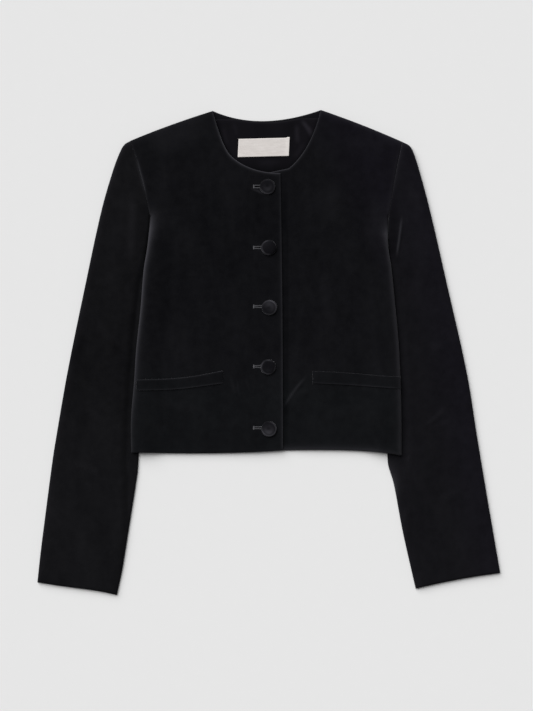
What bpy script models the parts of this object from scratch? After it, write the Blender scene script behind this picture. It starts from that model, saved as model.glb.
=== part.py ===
"""Cropped round-neck velvet jacket, buttoned and laid flat on its back.

Sizes are in millimetres and become metres where a mesh is made. +X is the wearer's left,
+Y runs up the garment to the neck and +Z is up from the surface that it lies on.
Each panel is a grid over its plan shape, at the height of the cloth below it, with a wall.
"""

import math
from collections import namedtuple

import bmesh
import bpy

for leftover in list(bpy.data.objects):
    bpy.data.objects.remove(leftover, do_unlink=True)

MM = 0.001

# Cloth walls and gaps
CLOTH_WALL = 1.8
FACING_WALL = 1.2
LABEL_WALL = 1.0
WELT_WALL = 1.4
LAY_GAP = 0.3
WELT_GAP = 0.35
SEAM_GAP = 0.3
CORNER_RELIEF = 0.3

# Height of the cloth
SLEEVE_STACK = 4.5
LIFT_RUN = 42.0
LIFT_MARGIN = 5.0
LIFT_SLOPE = 34.0
BODY_PUFF = 3.3
SHOULDER_PUFF = 2.4
SHOULDER_REACH = 120.0
HEM_SINK = 1.2
HEM_REACH = 40.0
OVERLAP_RISE = 1.0
UNDERLAP_SINK = 1.4
FOLD_REACH = 10.0
HEAD_REACH = 75.0
TUCK_MARGIN = 9.0

# Fronts
FRONT_EDGE_X = 19.9
UNDERLAP_X = -18.6
FRONT_EDGE_BOW = 1.0
HEM_Y = -138.3
RIGHT_HEM_Y = -136.6
LEFT_HEM_Y = -137.9
BACK_HEM_SHORT = 8.0
NECK_SHARE = 0.55
KINK_SHARE = 0.5

# Buttons and buttonholes
BUTTON_RADIUS = 10.8
BUTTON_DOME = 5.0
BUTTON_CLEARANCE = 0.4
SHANK_RADIUS = 1.7
HOLE_END_X = -21.6
HOLE_WIDTH = 1.0
HOLE_EYE_RADIUS = 2.5
BUTTON_STEPS = 20

# Back neck facing and label
FACING_HALF_WIDTH = 92.0
FACING_BOTTOM_Y = 226.0
FACING_BOTTOM_RISE = 62.0
FACING_EDGE_IN = 1.2
FACING_SHOULDER_IN = 12.0
LABEL_SIZE = (71.6, 25.6)
LABEL_CENTRE = (-7.0, 287.0)
LABEL_TILT = math.radians(1.4)
LABEL_LEAN = 0.07

Side = namedtuple("Side", "y x over")
Half = namedtuple("Half", "way neck crest tip bend underarm hem cuff_arch cuff_lean side")
Section = namedtuple("Section", "station outer_x outer_y inner_x inner_y puff tucked")
Welt = namedtuple("Welt", "x top bottom")
Button = namedtuple("Button", "x y hole_y")

# Body halves: shoulder line from neck over its crest to tip, armhole from tip to underarm, side edge.
# The cuff's arch has a height, and leans to the inner fold
RIGHT = Half(
    way=-1,
    neck=(-78.3, 338.4),
    crest=(-142.0, 318.4),
    tip=(-192.9, 296.8),
    bend=(-176.9, 249.7),
    underarm=(-165.8, 190.3),
    hem=(-191.9, -139.5),
    cuff_arch=1.2,
    cuff_lean=1.0,
    side=(
        Side(y=-139.5, x=-191.9, over=10.8),
        Side(y=-94.0, x=-192.3, over=10.9),
        Side(y=-37.0, x=-187.8, over=9.4),
        Side(y=4.0, x=-185.2, over=7.2),
        Side(y=60.0, x=-179.2, over=5.0),
        Side(y=116.0, x=-174.7, over=1.0),
        Side(y=150.0, x=-169.3, over=0.0),
        Side(y=190.3, x=-165.8, over=0.0),
    ),
)
LEFT = Half(
    way=1,
    neck=(72.9, 339.7),
    crest=(130.8, 320.1),
    tip=(186.6, 295.2),
    bend=(175.1, 244.5),
    underarm=(167.7, 190.3),
    hem=(185.5, -143.4),
    cuff_arch=1.8,
    cuff_lean=0.0,
    side=(
        Side(y=-143.4, x=185.5, over=20.0),
        Side(y=-75.0, x=185.1, over=18.3),
        Side(y=4.0, x=182.0, over=12.3),
        Side(y=60.0, x=177.2, over=8.0),
        Side(y=116.0, x=171.6, over=2.0),
        Side(y=150.0, x=167.0, over=0.0),
        Side(y=190.3, x=167.7, over=0.0),
    ),
)

# Sleeve sections from the armhole to the cuff. Columns: station, x and y of the outer fold,
# x and y of the inner fold, height of the cloth over its underside, width tucked under the body
SLEEVE_RIGHT = (
    Section(0.0, -192.9, 296.8, -165.8, 190.3, 4.2, 0.0),
    Section(0.02, -202.3, 290.9, -166.7, 179.7, 4.0, 0.0),
    Section(0.045, -209.3, 278.3, -167.8, 166.5, 3.8, 0.0),
    Section(0.08, -218.6, 253.1, -169.8, 148.1, 3.6, 0.0),
    Section(0.15, -233.9, 199.9, -174.0, 111.1, 3.4, 1.0),
    Section(0.3, -256.4, 96.3, -176.8, 31.9, 3.3, 7.0),
    Section(0.5, -281.6, -27.0, -179.7, -74.0, 3.2, 11.5),
    Section(0.66, -298.1, -122.0, -182.8, -158.5, 3.0, 10.5),
    Section(0.72, -303.2, -155.0, -186.9, -189.6, 2.9, 4.0),
    Section(0.85, -313.4, -232.8, -197.9, -259.1, 2.6, 0.0),
    Section(0.93, -319.3, -279.5, -204.6, -301.3, 2.2, 0.0),
    Section(1.0, -323.8, -321.3, -212.6, -339.1, 1.8, 0.0),
)
SLEEVE_LEFT = (
    Section(0.0, 186.6, 295.2, 167.7, 190.3, 4.2, 0.0),
    Section(0.02, 197.1, 289.5, 167.2, 180.0, 4.0, 0.0),
    Section(0.045, 203.2, 278.3, 167.0, 167.0, 3.8, 0.0),
    Section(0.08, 211.2, 253.1, 167.3, 148.9, 3.6, 0.0),
    Section(0.15, 225.4, 199.9, 169.8, 112.5, 3.4, 4.0),
    Section(0.3, 249.2, 96.3, 171.0, 34.7, 3.3, 10.0),
    Section(0.5, 276.9, -27.0, 167.0, -69.0, 3.2, 18.5),
    Section(0.66, 291.4, -117.0, 166.4, -152.0, 3.0, 20.0),
    Section(0.72, 297.2, -152.0, 174.8, -183.0, 2.9, 8.0),
    Section(0.85, 308.7, -220.2, 187.5, -250.5, 2.6, 0.0),
    Section(1.0, 323.9, -308.2, 205.5, -330.1, 1.8, 0.0),
)

# Front necklines: the corner at the front edge and the points that the curves bend to
RIGHT_NECK_BEND = (-64.8, 286.4)
RIGHT_NECK_KINK = (-52.4, 274.8)
RIGHT_NECK_TURN = (-27.9, 251.5)
RIGHT_NECK_CORNER = (16.5, 250.7)
LEFT_NECK_BEND = (58.6, 282.0)
LEFT_NECK_KINK = (27.7, 257.5)
LEFT_NECK_CORNER = (UNDERLAP_X, 248.0)
BACK_NECK_BEND = (-13.0, 309.4)
RIGHT_HEM_BEND = (-60.0, -142.9)
LEFT_HEM_BEND = (125.0, -132.2)

WELT_RIGHT = (
    Welt(x=-185.0, top=-37.8, bottom=-52.9),
    Welt(x=-133.0, top=-35.7, bottom=-51.5),
    Welt(x=-100.0, top=-31.8, bottom=-47.8),
    Welt(x=-63.9, top=-24.8, bottom=-42.8),
)
WELT_LEFT = (
    Welt(x=61.2, top=-25.5, bottom=-42.8),
    Welt(x=106.8, top=-27.7, bottom=-44.8),
    Welt(x=150.6, top=-31.5, bottom=-48.0),
    Welt(x=184.0, top=-33.6, bottom=-50.3),
)
BUTTONS = (
    Button(x=-1.7, y=231.6, hole_y=232.0),
    Button(x=0.0, y=146.6, hole_y=146.8),
    Button(x=0.9, y=63.0, hole_y=64.5),
    Button(x=-0.8, y=-20.0, hole_y=-19.3),
    Button(x=0.4, y=-106.4, hole_y=-104.8),
)

# Grid stations, shares of the armhole, of the side edge and of a panel's width
ARM_STATIONS = (0.0, 0.025, 0.06, 0.11, 0.22, 0.36, 0.5, 0.62, 0.7, 0.78, 0.86, 0.93, 0.975, 1.0)
SIDE_STATIONS = (0.035, 0.08, 0.14, 0.22, 0.34, 0.48, 0.62, 0.72, 0.84, 0.94, 1.0)
ARM_SHARE = 0.26
EDGE_INSETS = (0.0, 2.5, 6.0, 11.0, 18.0, 27.0, 37.0, 48.0, 64.0, 90.0)
FRONT_WIDTH = 210.0
BACK_WIDTH = 376.0
RIGHT_NECK_STATIONS = (0.0, 0.14, 0.3, 0.5, 0.64, 0.8, 1.0)
LEFT_NECK_STATIONS = (0.0, 0.14, 0.3, 0.5, 0.64, 0.8, 1.0)
BACK_NECK_STATIONS = (0.0, 0.17, 0.34, 0.5, 0.66, 0.83, 1.0)
HEAD_STATIONS = (0.0, 0.02, 0.045, 0.08, 0.12, 0.17)
SLEEVE_STATIONS = HEAD_STATIONS + (0.25, 0.35, 0.45, 0.55, 0.63, 0.66, 0.72, 0.79, 0.87, 0.94, 1.0)
SHOULDER_STEPS = 6


def mix(a, b, t):
    return a + (b - a) * t


def mix_points(a, b, t):
    return (mix(a[0], b[0], t), mix(a[1], b[1], t))


def smooth(t):
    t = min(1.0, max(0.0, t))
    return t * t * (3.0 - 2.0 * t)


def bent(a, bend, b, t):
    """Point on a curve that leaves a towards the bend and reaches b from it."""
    return mix_points(mix_points(a, bend, t), mix_points(bend, b, t), t)


def reading(rows, at, column):
    """Smooth value of one column between the rows of a table, by its first column."""
    last = len(rows) - 1
    low = 0
    while low < last - 1 and at > rows[low + 1][0]:
        low += 1

    def slope(k):
        before = rows[max(k - 1, 0)]
        after = rows[min(k + 1, last)]
        return (getattr(after, column) - getattr(before, column)) / (after[0] - before[0])

    step = rows[low + 1][0] - rows[low][0]
    t = min(1.0, max(0.0, (at - rows[low][0]) / step))
    start = getattr(rows[low], column)
    end = getattr(rows[low + 1], column)
    rise = start * (1 + 2 * t) * (1 - t) ** 2 + end * t * t * (3 - 2 * t)
    return rise + step * t * (1 - t) * (slope(low) * (1 - t) - slope(low + 1) * t)


def distance_to_line(point, a, b):
    run = (b[0] - a[0], b[1] - a[1])
    t = ((point[0] - a[0]) * run[0] + (point[1] - a[1]) * run[1]) / (run[0] ** 2 + run[1] ** 2)
    near = mix_points(a, b, min(1.0, max(0.0, t)))
    return math.dist(point, near)


def fold(distance):
    """Share of the full height that the cloth has at a distance from a fold."""
    return math.sin(math.pi / 2 * min(1.0, max(0.0, distance / FOLD_REACH)))


def half_of(x):
    return LEFT if x > 0 else RIGHT


def armhole(half, t):
    return bent(half.tip, half.bend, half.underarm, t)


def shoulder(half, t):
    """Point on the shoulder line from the neck to the tip, which stands in from the seam."""
    tip = (half.tip[0] - half.way * SEAM_GAP / 2, half.tip[1])
    return bent(half.neck, half.crest, tip, t)


def shoulder_distance(half, point):
    line = [shoulder(half, k / SHOULDER_STEPS) for k in range(SHOULDER_STEPS + 1)]
    return min(distance_to_line(point, a, b) for a, b in zip(line, line[1:]))


def side_point(half, t):
    y = mix(half.underarm[1], half.hem[1], t)
    return (reading(half.side, y, "x"), y)


def side_distance(half, x, y):
    """Distance in plan from the side edge, which ends at the underarm."""
    if y > half.underarm[1]:
        return math.dist((x, y), half.underarm)
    return max(0.0, (reading(half.side, y, "x") - x) * half.way)


def lift(half, x, y):
    """Underside of the back: flat on the surface, raised where a sleeve lies under its side."""
    drop = half.underarm[1] - y
    if drop <= 0:
        return 0.0
    reach = reading(half.side, y, "over") + LIFT_MARGIN + LIFT_SLOPE
    across = smooth((reach - side_distance(half, x, y)) / LIFT_SLOPE)
    return SLEEVE_STACK * across * smooth(drop / LIFT_RUN)


def back_top(half, x, y):
    return lift(half, x, y) + CLOTH_WALL


def puff(half, x, y):
    """Height of a front's underside over the back, away from the folds."""
    height = BODY_PUFF
    height += SHOULDER_PUFF * smooth(1 - math.dist((x, y), half.tip) / SHOULDER_REACH)
    height -= HEM_SINK * smooth(1 - (y - HEM_Y) / HEM_REACH)
    if half is RIGHT:
        return height + OVERLAP_RISE * smooth((x + 72.0) / 46.0)
    return height - UNDERLAP_SINK * smooth((70.0 - x) / 44.0)


def front_top(half, x, y):
    closing = fold(side_distance(half, x, y)) * fold(shoulder_distance(half, (x, y)))
    base = back_top(half, x, y) + LAY_GAP
    return base + puff(half, x, y) * closing + CLOTH_WALL


def patch(top, foot, left, right, u, v):
    """Point inside four edges: top and foot run along u, left and right along v."""
    x, y = mix_points(top(u), foot(u), v)
    for edge, share, at in ((left, (1 - u) ** 2, 0.0), (right, u * u, 1.0)):
        straight = mix_points(top(at), foot(at), v)
        bow = edge(v)
        x += share * (bow[0] - straight[0])
        y += share * (bow[1] - straight[1])
    return (x, y)


def body_edge(half, v):
    """Armhole and then side edge, moved in by half of the seam gap at the armhole."""
    if v <= ARM_SHARE:
        x, y = armhole(half, v / ARM_SHARE)
        return (x - half.way * SEAM_GAP / 2, y)
    return side_point(half, (v - ARM_SHARE) / (1 - ARM_SHARE))


def right_front_top(u):
    if u <= NECK_SHARE:
        return shoulder(RIGHT, 1 - u / NECK_SHARE)
    t = (u - NECK_SHARE) / (1 - NECK_SHARE)
    if t <= KINK_SHARE:
        return bent(RIGHT.neck, RIGHT_NECK_BEND, RIGHT_NECK_KINK, t / KINK_SHARE)
    return bent(RIGHT_NECK_KINK, RIGHT_NECK_TURN, RIGHT_NECK_CORNER, (t - KINK_SHARE) / (1 - KINK_SHARE))


def right_front_hem(u):
    return bent(RIGHT.hem, RIGHT_HEM_BEND, (FRONT_EDGE_X, RIGHT_HEM_Y), u)


def right_front_edge(v):
    x = mix(RIGHT_NECK_CORNER[0], FRONT_EDGE_X, v) + 4 * FRONT_EDGE_BOW * v * (1 - v)
    return (x, mix(RIGHT_NECK_CORNER[1], RIGHT_HEM_Y, v))


def left_front_top(u):
    if u <= NECK_SHARE:
        return shoulder(LEFT, 1 - u / NECK_SHARE)
    t = (u - NECK_SHARE) / (1 - NECK_SHARE)
    if t <= KINK_SHARE:
        return bent(LEFT.neck, LEFT_NECK_BEND, LEFT_NECK_KINK, t / KINK_SHARE)
    return mix_points(LEFT_NECK_KINK, LEFT_NECK_CORNER, (t - KINK_SHARE) / (1 - KINK_SHARE))


def left_front_hem(u):
    return bent(LEFT.hem, LEFT_HEM_BEND, (UNDERLAP_X, LEFT_HEM_Y), u)


def left_front_edge(v):
    return mix_points(LEFT_NECK_CORNER, (UNDERLAP_X, LEFT_HEM_Y), v)


def right_front_plan(u, v):
    edge = lambda t: body_edge(RIGHT, t)
    return patch(right_front_top, right_front_hem, edge, right_front_edge, u, v)


def left_front_plan(u, v):
    edge = lambda t: body_edge(LEFT, t)
    return patch(left_front_top, left_front_hem, edge, left_front_edge, u, v)


BACK_NECK_RIGHT = (RIGHT.neck[0] - RIGHT.tip[0]) / (LEFT.tip[0] - RIGHT.tip[0])
BACK_NECK_LEFT = (LEFT.neck[0] - RIGHT.tip[0]) / (LEFT.tip[0] - RIGHT.tip[0])


def back_neck(t):
    return bent(RIGHT.neck, BACK_NECK_BEND, LEFT.neck, t)


def back_top_edge(u):
    if u <= BACK_NECK_RIGHT:
        return shoulder(RIGHT, 1 - u / BACK_NECK_RIGHT)
    if u < BACK_NECK_LEFT:
        return back_neck((u - BACK_NECK_RIGHT) / (BACK_NECK_LEFT - BACK_NECK_RIGHT))
    return shoulder(LEFT, (u - BACK_NECK_LEFT) / (1 - BACK_NECK_LEFT))


def back_hem(u):
    x, y = mix_points(RIGHT.hem, LEFT.hem, u)
    return (x, y + BACK_HEM_SHORT * math.sin(math.pi * u) ** 0.5)


def back_plan(u, v):
    right = lambda t: body_edge(RIGHT, t)
    left = lambda t: body_edge(LEFT, t)
    return patch(back_top_edge, back_hem, right, left, u, v)


def sleeve_plan(half, rows, u, v):
    """Point between the folds of a sleeve, whose head follows the armhole."""
    outer = (reading(rows, v, "outer_x"), reading(rows, v, "outer_y"))
    inner = (reading(rows, v, "inner_x"), reading(rows, v, "inner_y"))
    x, y = mix_points(outer, inner, u)
    head = armhole(half, u)
    chord = mix_points(half.tip, half.underarm, u)
    share = smooth(1 - v / 0.3)
    corner = max(0.0, 1 - u / 0.06) + max(0.0, 1 - (1 - u) / 0.06)
    away = half.way * (SEAM_GAP / 2 + CORNER_RELIEF * corner) * max(0.0, 1 - v / 0.1)
    arch = half.cuff_arch * 4 * u * (1 - u) * mix(1.0, 2.5 * u * u, half.cuff_lean)
    arch *= smooth((v - 0.85) / 0.15)
    return (x + share * (head[0] - chord[0]) + away, y + share * (head[1] - chord[1]) + arch)


def sleeve_top(half, rows, u, v):
    """Top of the upper sleeve: level with the front at the armhole, then its own height."""
    outer = (reading(rows, v, "outer_x"), reading(rows, v, "outer_y"))
    inner = (reading(rows, v, "inner_x"), reading(rows, v, "inner_y"))
    width = math.dist(outer, inner)
    free = (1 - u) * width - reading(rows, v, "tucked")
    if reading(rows, v, "tucked") > 0.5:
        free -= TUCK_MARGIN
    closing = fold(u * width) * fold(free)
    own = CLOTH_WALL + LAY_GAP + reading(rows, v, "puff") * closing + CLOTH_WALL
    seam = front_top(half, *armhole(half, u))
    length = math.dist((rows[0].outer_x, rows[0].outer_y), (rows[-1].outer_x, rows[-1].outer_y))
    return mix(seam, own, smooth(v * length / HEAD_REACH))


jacket = bpy.data.collections.new("Cropped_velvet_jacket")
cutters = bpy.data.collections.new("Buttonhole_cutters")
bpy.context.scene.collection.children.link(jacket)
bpy.context.scene.collection.children.link(cutters)


def cloth(name, colour, roughness, sheen):
    material = bpy.data.materials.new(name)
    material.use_nodes = True
    shader = material.node_tree.nodes["Principled BSDF"]
    shader.inputs["Base Color"].default_value = (*colour, 1.0)
    shader.inputs["Roughness"].default_value = roughness
    shader.inputs["Sheen Weight"].default_value = sheen
    return material


VELVET = cloth("Black_velvet", (0.006, 0.006, 0.007), 0.85, 0.6)
SLEEVE_VELVET = cloth("Sleeve_velvet", (0.006, 0.006, 0.007), 0.85, 0.6)
WELT_VELVET = cloth("Welt_velvet", (0.008, 0.008, 0.009), 0.8, 0.6)
BUTTON_VELVET = cloth("Button_velvet", (0.01, 0.01, 0.011), 0.7, 0.7)
FACING_CLOTH = cloth("Facing_cloth", (0.007, 0.007, 0.008), 0.7, 0.2)
LABEL_TAPE = cloth("Label_tape", (0.72, 0.66, 0.62), 0.8, 0.0)


def finish(name, bm, material, collection=None):
    bmesh.ops.recalc_face_normals(bm, faces=bm.faces)
    mesh = bpy.data.meshes.new(name)
    bm.to_mesh(mesh)
    bm.free()
    made = bpy.data.objects.new(name, mesh)
    if material:
        mesh.materials.append(material)
    (collection or jacket).objects.link(made)
    return made


def panel(name, us, vs, top, wall, material):
    """Cloth over a grid of stations: top gives each point, the wall goes down from it."""
    across = len(us) - 1
    along = len(vs) - 1
    bm = bmesh.new()
    bmesh.ops.create_grid(bm, x_segments=across, y_segments=along, size=1.0)
    for vert in bm.verts:
        u = us[round((vert.co.x + 1) / 2 * across)]
        v = vs[round((1 - vert.co.y) / 2 * along)]
        vert.co = [value * MM for value in top(u, v)]
    made = bmesh.ops.extrude_face_region(bm, geom=bm.faces[:], use_keep_orig=True)
    under = [item for item in made["geom"] if isinstance(item, bmesh.types.BMVert)]
    bmesh.ops.translate(bm, verts=under, vec=(0.0, 0.0, -wall * MM))
    return finish(name, bm, material)


arm_rows = [ARM_SHARE * t for t in ARM_STATIONS]
body_rows = arm_rows + [mix(ARM_SHARE, 1.0, t) for t in SIDE_STATIONS]
front_columns = [inset / FRONT_WIDTH for inset in EDGE_INSETS]
right_columns = front_columns + [mix(NECK_SHARE, 1.0, t) for t in RIGHT_NECK_STATIONS]
left_columns = front_columns + [mix(NECK_SHARE, 1.0, t) for t in LEFT_NECK_STATIONS]
back_columns = [inset / BACK_WIDTH for inset in EDGE_INSETS]
back_columns += [mix(BACK_NECK_RIGHT, BACK_NECK_LEFT, t) for t in BACK_NECK_STATIONS]
back_columns += [1 - inset / BACK_WIDTH for inset in reversed(EDGE_INSETS)]


def back_point(u, v):
    x, y = back_plan(u, v)
    return (x, y, back_top(half_of(x), x, y))


def right_front_point(u, v):
    x, y = right_front_plan(u, v)
    return (x, y, front_top(RIGHT, x, y))


def left_front_point(u, v):
    x, y = left_front_plan(u, v)
    return (x, y, front_top(LEFT, x, y))


panel("back", back_columns, body_rows, back_point, CLOTH_WALL, VELVET)
front_right = panel("front_right", right_columns, body_rows, right_front_point, CLOTH_WALL, VELVET)
panel("front_left", left_columns, body_rows, left_front_point, CLOTH_WALL, VELVET)

for side_name, half, rows in (("right", RIGHT, SLEEVE_RIGHT), ("left", LEFT, SLEEVE_LEFT)):

    def upper_point(u, v):
        x, y = sleeve_plan(half, rows, u, v)
        return (x, y, sleeve_top(half, rows, u, v))

    def under_point(u, v):
        x, y = sleeve_plan(half, rows, u, v)
        return (x, y, CLOTH_WALL)

    for layer, point in (("upper", upper_point), ("under", under_point)):
        name = f"sleeve_{side_name}_{layer}"
        panel(name, ARM_STATIONS, SLEEVE_STATIONS, point, CLOTH_WALL, SLEEVE_VELVET)


def facing_point(u, v):
    """Half-moon on the inside of the back, its upper edge just in from the neck edge."""
    x = mix(-FACING_HALF_WIDTH, FACING_HALF_WIDTH - 5.0, u)
    half = half_of(x)
    t = (x - RIGHT.neck[0]) / (LEFT.neck[0] - RIGHT.neck[0])
    neck_y = back_neck(min(1.0, max(0.0, t)))[1] - FACING_EDGE_IN
    shoulder_y = half.neck[1] - FACING_SHOULDER_IN - 0.4 * max(0.0, abs(x) - abs(half.neck[0]))
    upper = min(neck_y, shoulder_y)
    lower = FACING_BOTTOM_Y + FACING_BOTTOM_RISE * (2 * u - 1) ** 2
    return (x, mix(upper, lower, v), CLOTH_WALL + LAY_GAP + FACING_WALL)


facing_columns = [k / 16 for k in range(17)]
panel("back_neck_facing", facing_columns, (0.0, 0.3, 0.65, 1.0), facing_point, FACING_WALL, FACING_CLOTH)


def label_point(u, v):
    rise = (0.5 - v) * LABEL_SIZE[1]
    across = (u - 0.5) * LABEL_SIZE[0] + LABEL_LEAN * rise
    x = LABEL_CENTRE[0] + across * math.cos(LABEL_TILT) - rise * math.sin(LABEL_TILT)
    y = LABEL_CENTRE[1] + across * math.sin(LABEL_TILT) + rise * math.cos(LABEL_TILT)
    return (x, y, CLOTH_WALL + LAY_GAP + FACING_WALL + LAY_GAP + LABEL_WALL)


panel("neck_label", (0.0, 0.5, 1.0), (0.0, 0.5, 1.0), label_point, LABEL_WALL, LABEL_TAPE)


def welt(name, rows, half, plan, columns):
    """Strip on a front, made at the front's own columns and moved out."""

    def on_front(u, y):
        low, high = 0.0, 1.0
        for _ in range(40):
            middle = (low + high) / 2
            if plan(u, middle)[1] > y:
                low = middle
            else:
                high = middle
        return plan(u, low)

    def inside(u):
        x = on_front(u, rows[0].top)[0]
        return rows[0].x < x < rows[-1].x

    def column_at(x):
        low, high = 0.0, 1.0
        for _ in range(40):
            middle = (low + high) / 2
            if (on_front(middle, rows[0].top)[0] - x) * half.way > 0:
                low = middle
            else:
                high = middle
        return low

    ends = (column_at(rows[0].x), column_at(rows[-1].x))
    stations = sorted([u for u in columns if inside(u)] + list(ends))

    def point(u, v):
        x = on_front(u, rows[0].top)[0]
        y = mix(reading(rows, x, "top"), reading(rows, x, "bottom"), v)
        x, y = on_front(u, y)
        return (x, y, front_top(half, x, y) + WELT_GAP + WELT_WALL)

    panel(name, stations, (0.0, 0.5, 1.0), point, WELT_WALL, WELT_VELVET)


welt("welt_right", WELT_RIGHT, RIGHT, right_front_plan, right_columns)
welt("welt_left", WELT_LEFT, LEFT, left_front_plan, left_columns)


def button(index, row):
    """Turned dome on a shank that goes through the buttonhole."""
    base = front_top(RIGHT, row.x, row.y) + BUTTON_CLEARANCE
    stem = base - front_top(LEFT, row.x, row.y) - LAY_GAP
    outline = (
        (0.0, BUTTON_DOME),
        (0.42 * BUTTON_RADIUS, 0.93 * BUTTON_DOME),
        (0.76 * BUTTON_RADIUS, 0.72 * BUTTON_DOME),
        (0.95 * BUTTON_RADIUS, 0.42 * BUTTON_DOME),
        (BUTTON_RADIUS, 0.22 * BUTTON_DOME),
        (0.9 * BUTTON_RADIUS, 0.0),
        (SHANK_RADIUS, 0.0),
        (SHANK_RADIUS, -stem),
        (0.0, -stem),
    )
    bm = bmesh.new()
    points = [bm.verts.new((r * MM, 0.0, z * MM)) for r, z in outline]
    for start, end in zip(points, points[1:]):
        bm.edges.new((start, end))
    made = finish(f"button_{index}", bm, BUTTON_VELVET)
    turn = made.modifiers.new("Turn", "SCREW")
    turn.axis = "Z"
    turn.steps = BUTTON_STEPS
    turn.render_steps = BUTTON_STEPS
    turn.use_merge_vertices = True
    turn.merge_threshold = 0.00001
    turn.use_smooth_shade = False
    made.location = (row.x * MM, row.y * MM, base * MM)


def cutter(name, bm):
    made = finish(name, bm, None, cutters)
    made.hide_render = True
    made.display_type = "WIRE"
    cut = front_right.modifiers.new(name, "BOOLEAN")
    cut.operation = "DIFFERENCE"
    cut.solver = "EXACT"
    cut.object = made


def buttonhole(index, row):
    """Keyhole cut through the upper front: a straight slit and a round eye for the shank."""
    z = front_top(RIGHT, row.x, row.y) - CLOTH_WALL / 2
    slit = bmesh.new()
    bmesh.ops.create_cube(slit, size=1.0)
    length = row.x - HOLE_END_X
    bmesh.ops.scale(slit, verts=slit.verts, vec=(length * MM, HOLE_WIDTH * MM, 6 * MM))
    middle = ((row.x + HOLE_END_X) / 2 * MM, row.hole_y * MM, z * MM)
    bmesh.ops.translate(slit, verts=slit.verts, vec=middle)
    cutter(f"slit_{index}", slit)
    eye = bmesh.new()
    bmesh.ops.create_cone(
        eye,
        cap_ends=True,
        segments=16,
        radius1=HOLE_EYE_RADIUS * MM,
        radius2=HOLE_EYE_RADIUS * MM,
        depth=6 * MM,
    )
    bmesh.ops.translate(eye, verts=eye.verts, vec=(row.x * MM, row.y * MM, z * MM))
    cutter(f"eye_{index}", eye)


for number, button_row in enumerate(BUTTONS, start=1):
    button(number, button_row)
    buttonhole(number, button_row)
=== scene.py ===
import math

import bmesh
import bpy
import numpy as np
from mathutils import Matrix, Vector


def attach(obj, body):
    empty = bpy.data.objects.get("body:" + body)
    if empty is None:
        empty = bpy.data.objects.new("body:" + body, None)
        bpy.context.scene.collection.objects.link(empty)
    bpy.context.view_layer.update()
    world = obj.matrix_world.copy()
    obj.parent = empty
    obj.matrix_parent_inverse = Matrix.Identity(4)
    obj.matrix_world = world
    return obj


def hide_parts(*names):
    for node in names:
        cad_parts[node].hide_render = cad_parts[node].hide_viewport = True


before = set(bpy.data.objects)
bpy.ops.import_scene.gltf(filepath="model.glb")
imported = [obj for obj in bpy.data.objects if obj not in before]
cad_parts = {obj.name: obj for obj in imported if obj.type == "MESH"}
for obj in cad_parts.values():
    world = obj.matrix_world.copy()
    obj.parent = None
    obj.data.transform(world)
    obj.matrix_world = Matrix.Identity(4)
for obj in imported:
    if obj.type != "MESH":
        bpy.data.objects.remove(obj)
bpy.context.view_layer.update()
print("frame loaded:", len(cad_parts), "nodes")

mm = 0.001  # shapes are given in millimetres; meshes, flat sizes, casts and reliefs are in metres


# Plain helpers on arrays of plan points
def mix(a, b, t):
    return a + (b - a) * t


def ease(t):
    t = np.clip(t, 0.0, 1.0)
    return t * t * (3.0 - 2.0 * t)


def roundFold(distance, reach):
    t = np.clip(distance / reach, 0.0, 1.0)
    return np.sqrt(np.maximum(0.0, 1.0 - (1.0 - t) ** 2))


def softFold(distance, reach):
    return np.sin(np.pi / 2 * np.clip(distance / reach, 0.0, 1.0))


def straightLine(a, b, t):
    t = np.asarray(t)[:, None]
    return mix(np.array(a), np.array(b), t)


def bentLine(a, bend, b, t):
    t = np.asarray(t)[:, None]
    a, bend, b = np.array(a), np.array(bend), np.array(b)
    return (1 - t) ** 2 * a + 2 * t * (1 - t) * bend + t * t * b


def readTable(rows, at, column):  # smooth curve through one column, by the first column
    table = np.array(rows)
    keys, values = table[:, 0], table[:, column]
    slopes = np.gradient(values, keys, edge_order=1)
    slopes[1:-1] = (values[2:] - values[:-2]) / (keys[2:] - keys[:-2])
    low = np.clip(np.searchsorted(keys, at) - 1, 0, len(keys) - 2)
    step = keys[low + 1] - keys[low]
    t = np.clip((at - keys[low]) / step, 0.0, 1.0)
    rise = values[low] * (1 + 2 * t) * (1 - t) ** 2 + values[low + 1] * t * t * (3 - 2 * t)
    return rise + step * t * (1 - t) * (slopes[low] * (1 - t) - slopes[low + 1] * t)


def nearLine(points, line):  # distance to a line of points, and the share along it
    best = np.full(points.shape[:-1], 1e9)
    share = np.zeros_like(best)
    steps = np.linalg.norm(np.diff(line, axis=0), axis=1)
    run = np.concatenate(([0.0], np.cumsum(steps)))
    for a, b, start, step in zip(line[:-1], line[1:], run[:-1], steps):
        along = np.clip(((points - a) @ (b - a)) / step**2, 0.0, 1.0)
        gap = np.linalg.norm(points - a - along[..., None] * (b - a), axis=-1)
        closer = gap < best
        best = np.where(closer, gap, best)
        share = np.where(closer, (start + along * step) / run[-1], share)
    return best, share


edgeInsets = (0.0, 0.3, 0.7, 1.2, 1.8, 2.6, 3.6, 5.0, 6.8, 9.0)  # close rows for a rolled edge


def stations(length, step, closeStart=True, closeEnd=True):
    start = list(edgeInsets) if closeStart else [0.0]
    end = [length - inset for inset in reversed(edgeInsets)] if closeEnd else [length]
    count = max(2, round((end[0] - start[-1]) / step))
    middle = np.linspace(start[-1], end[0], count + 1)[1:-1]
    return np.concatenate((start, middle, end)) / length


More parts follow.
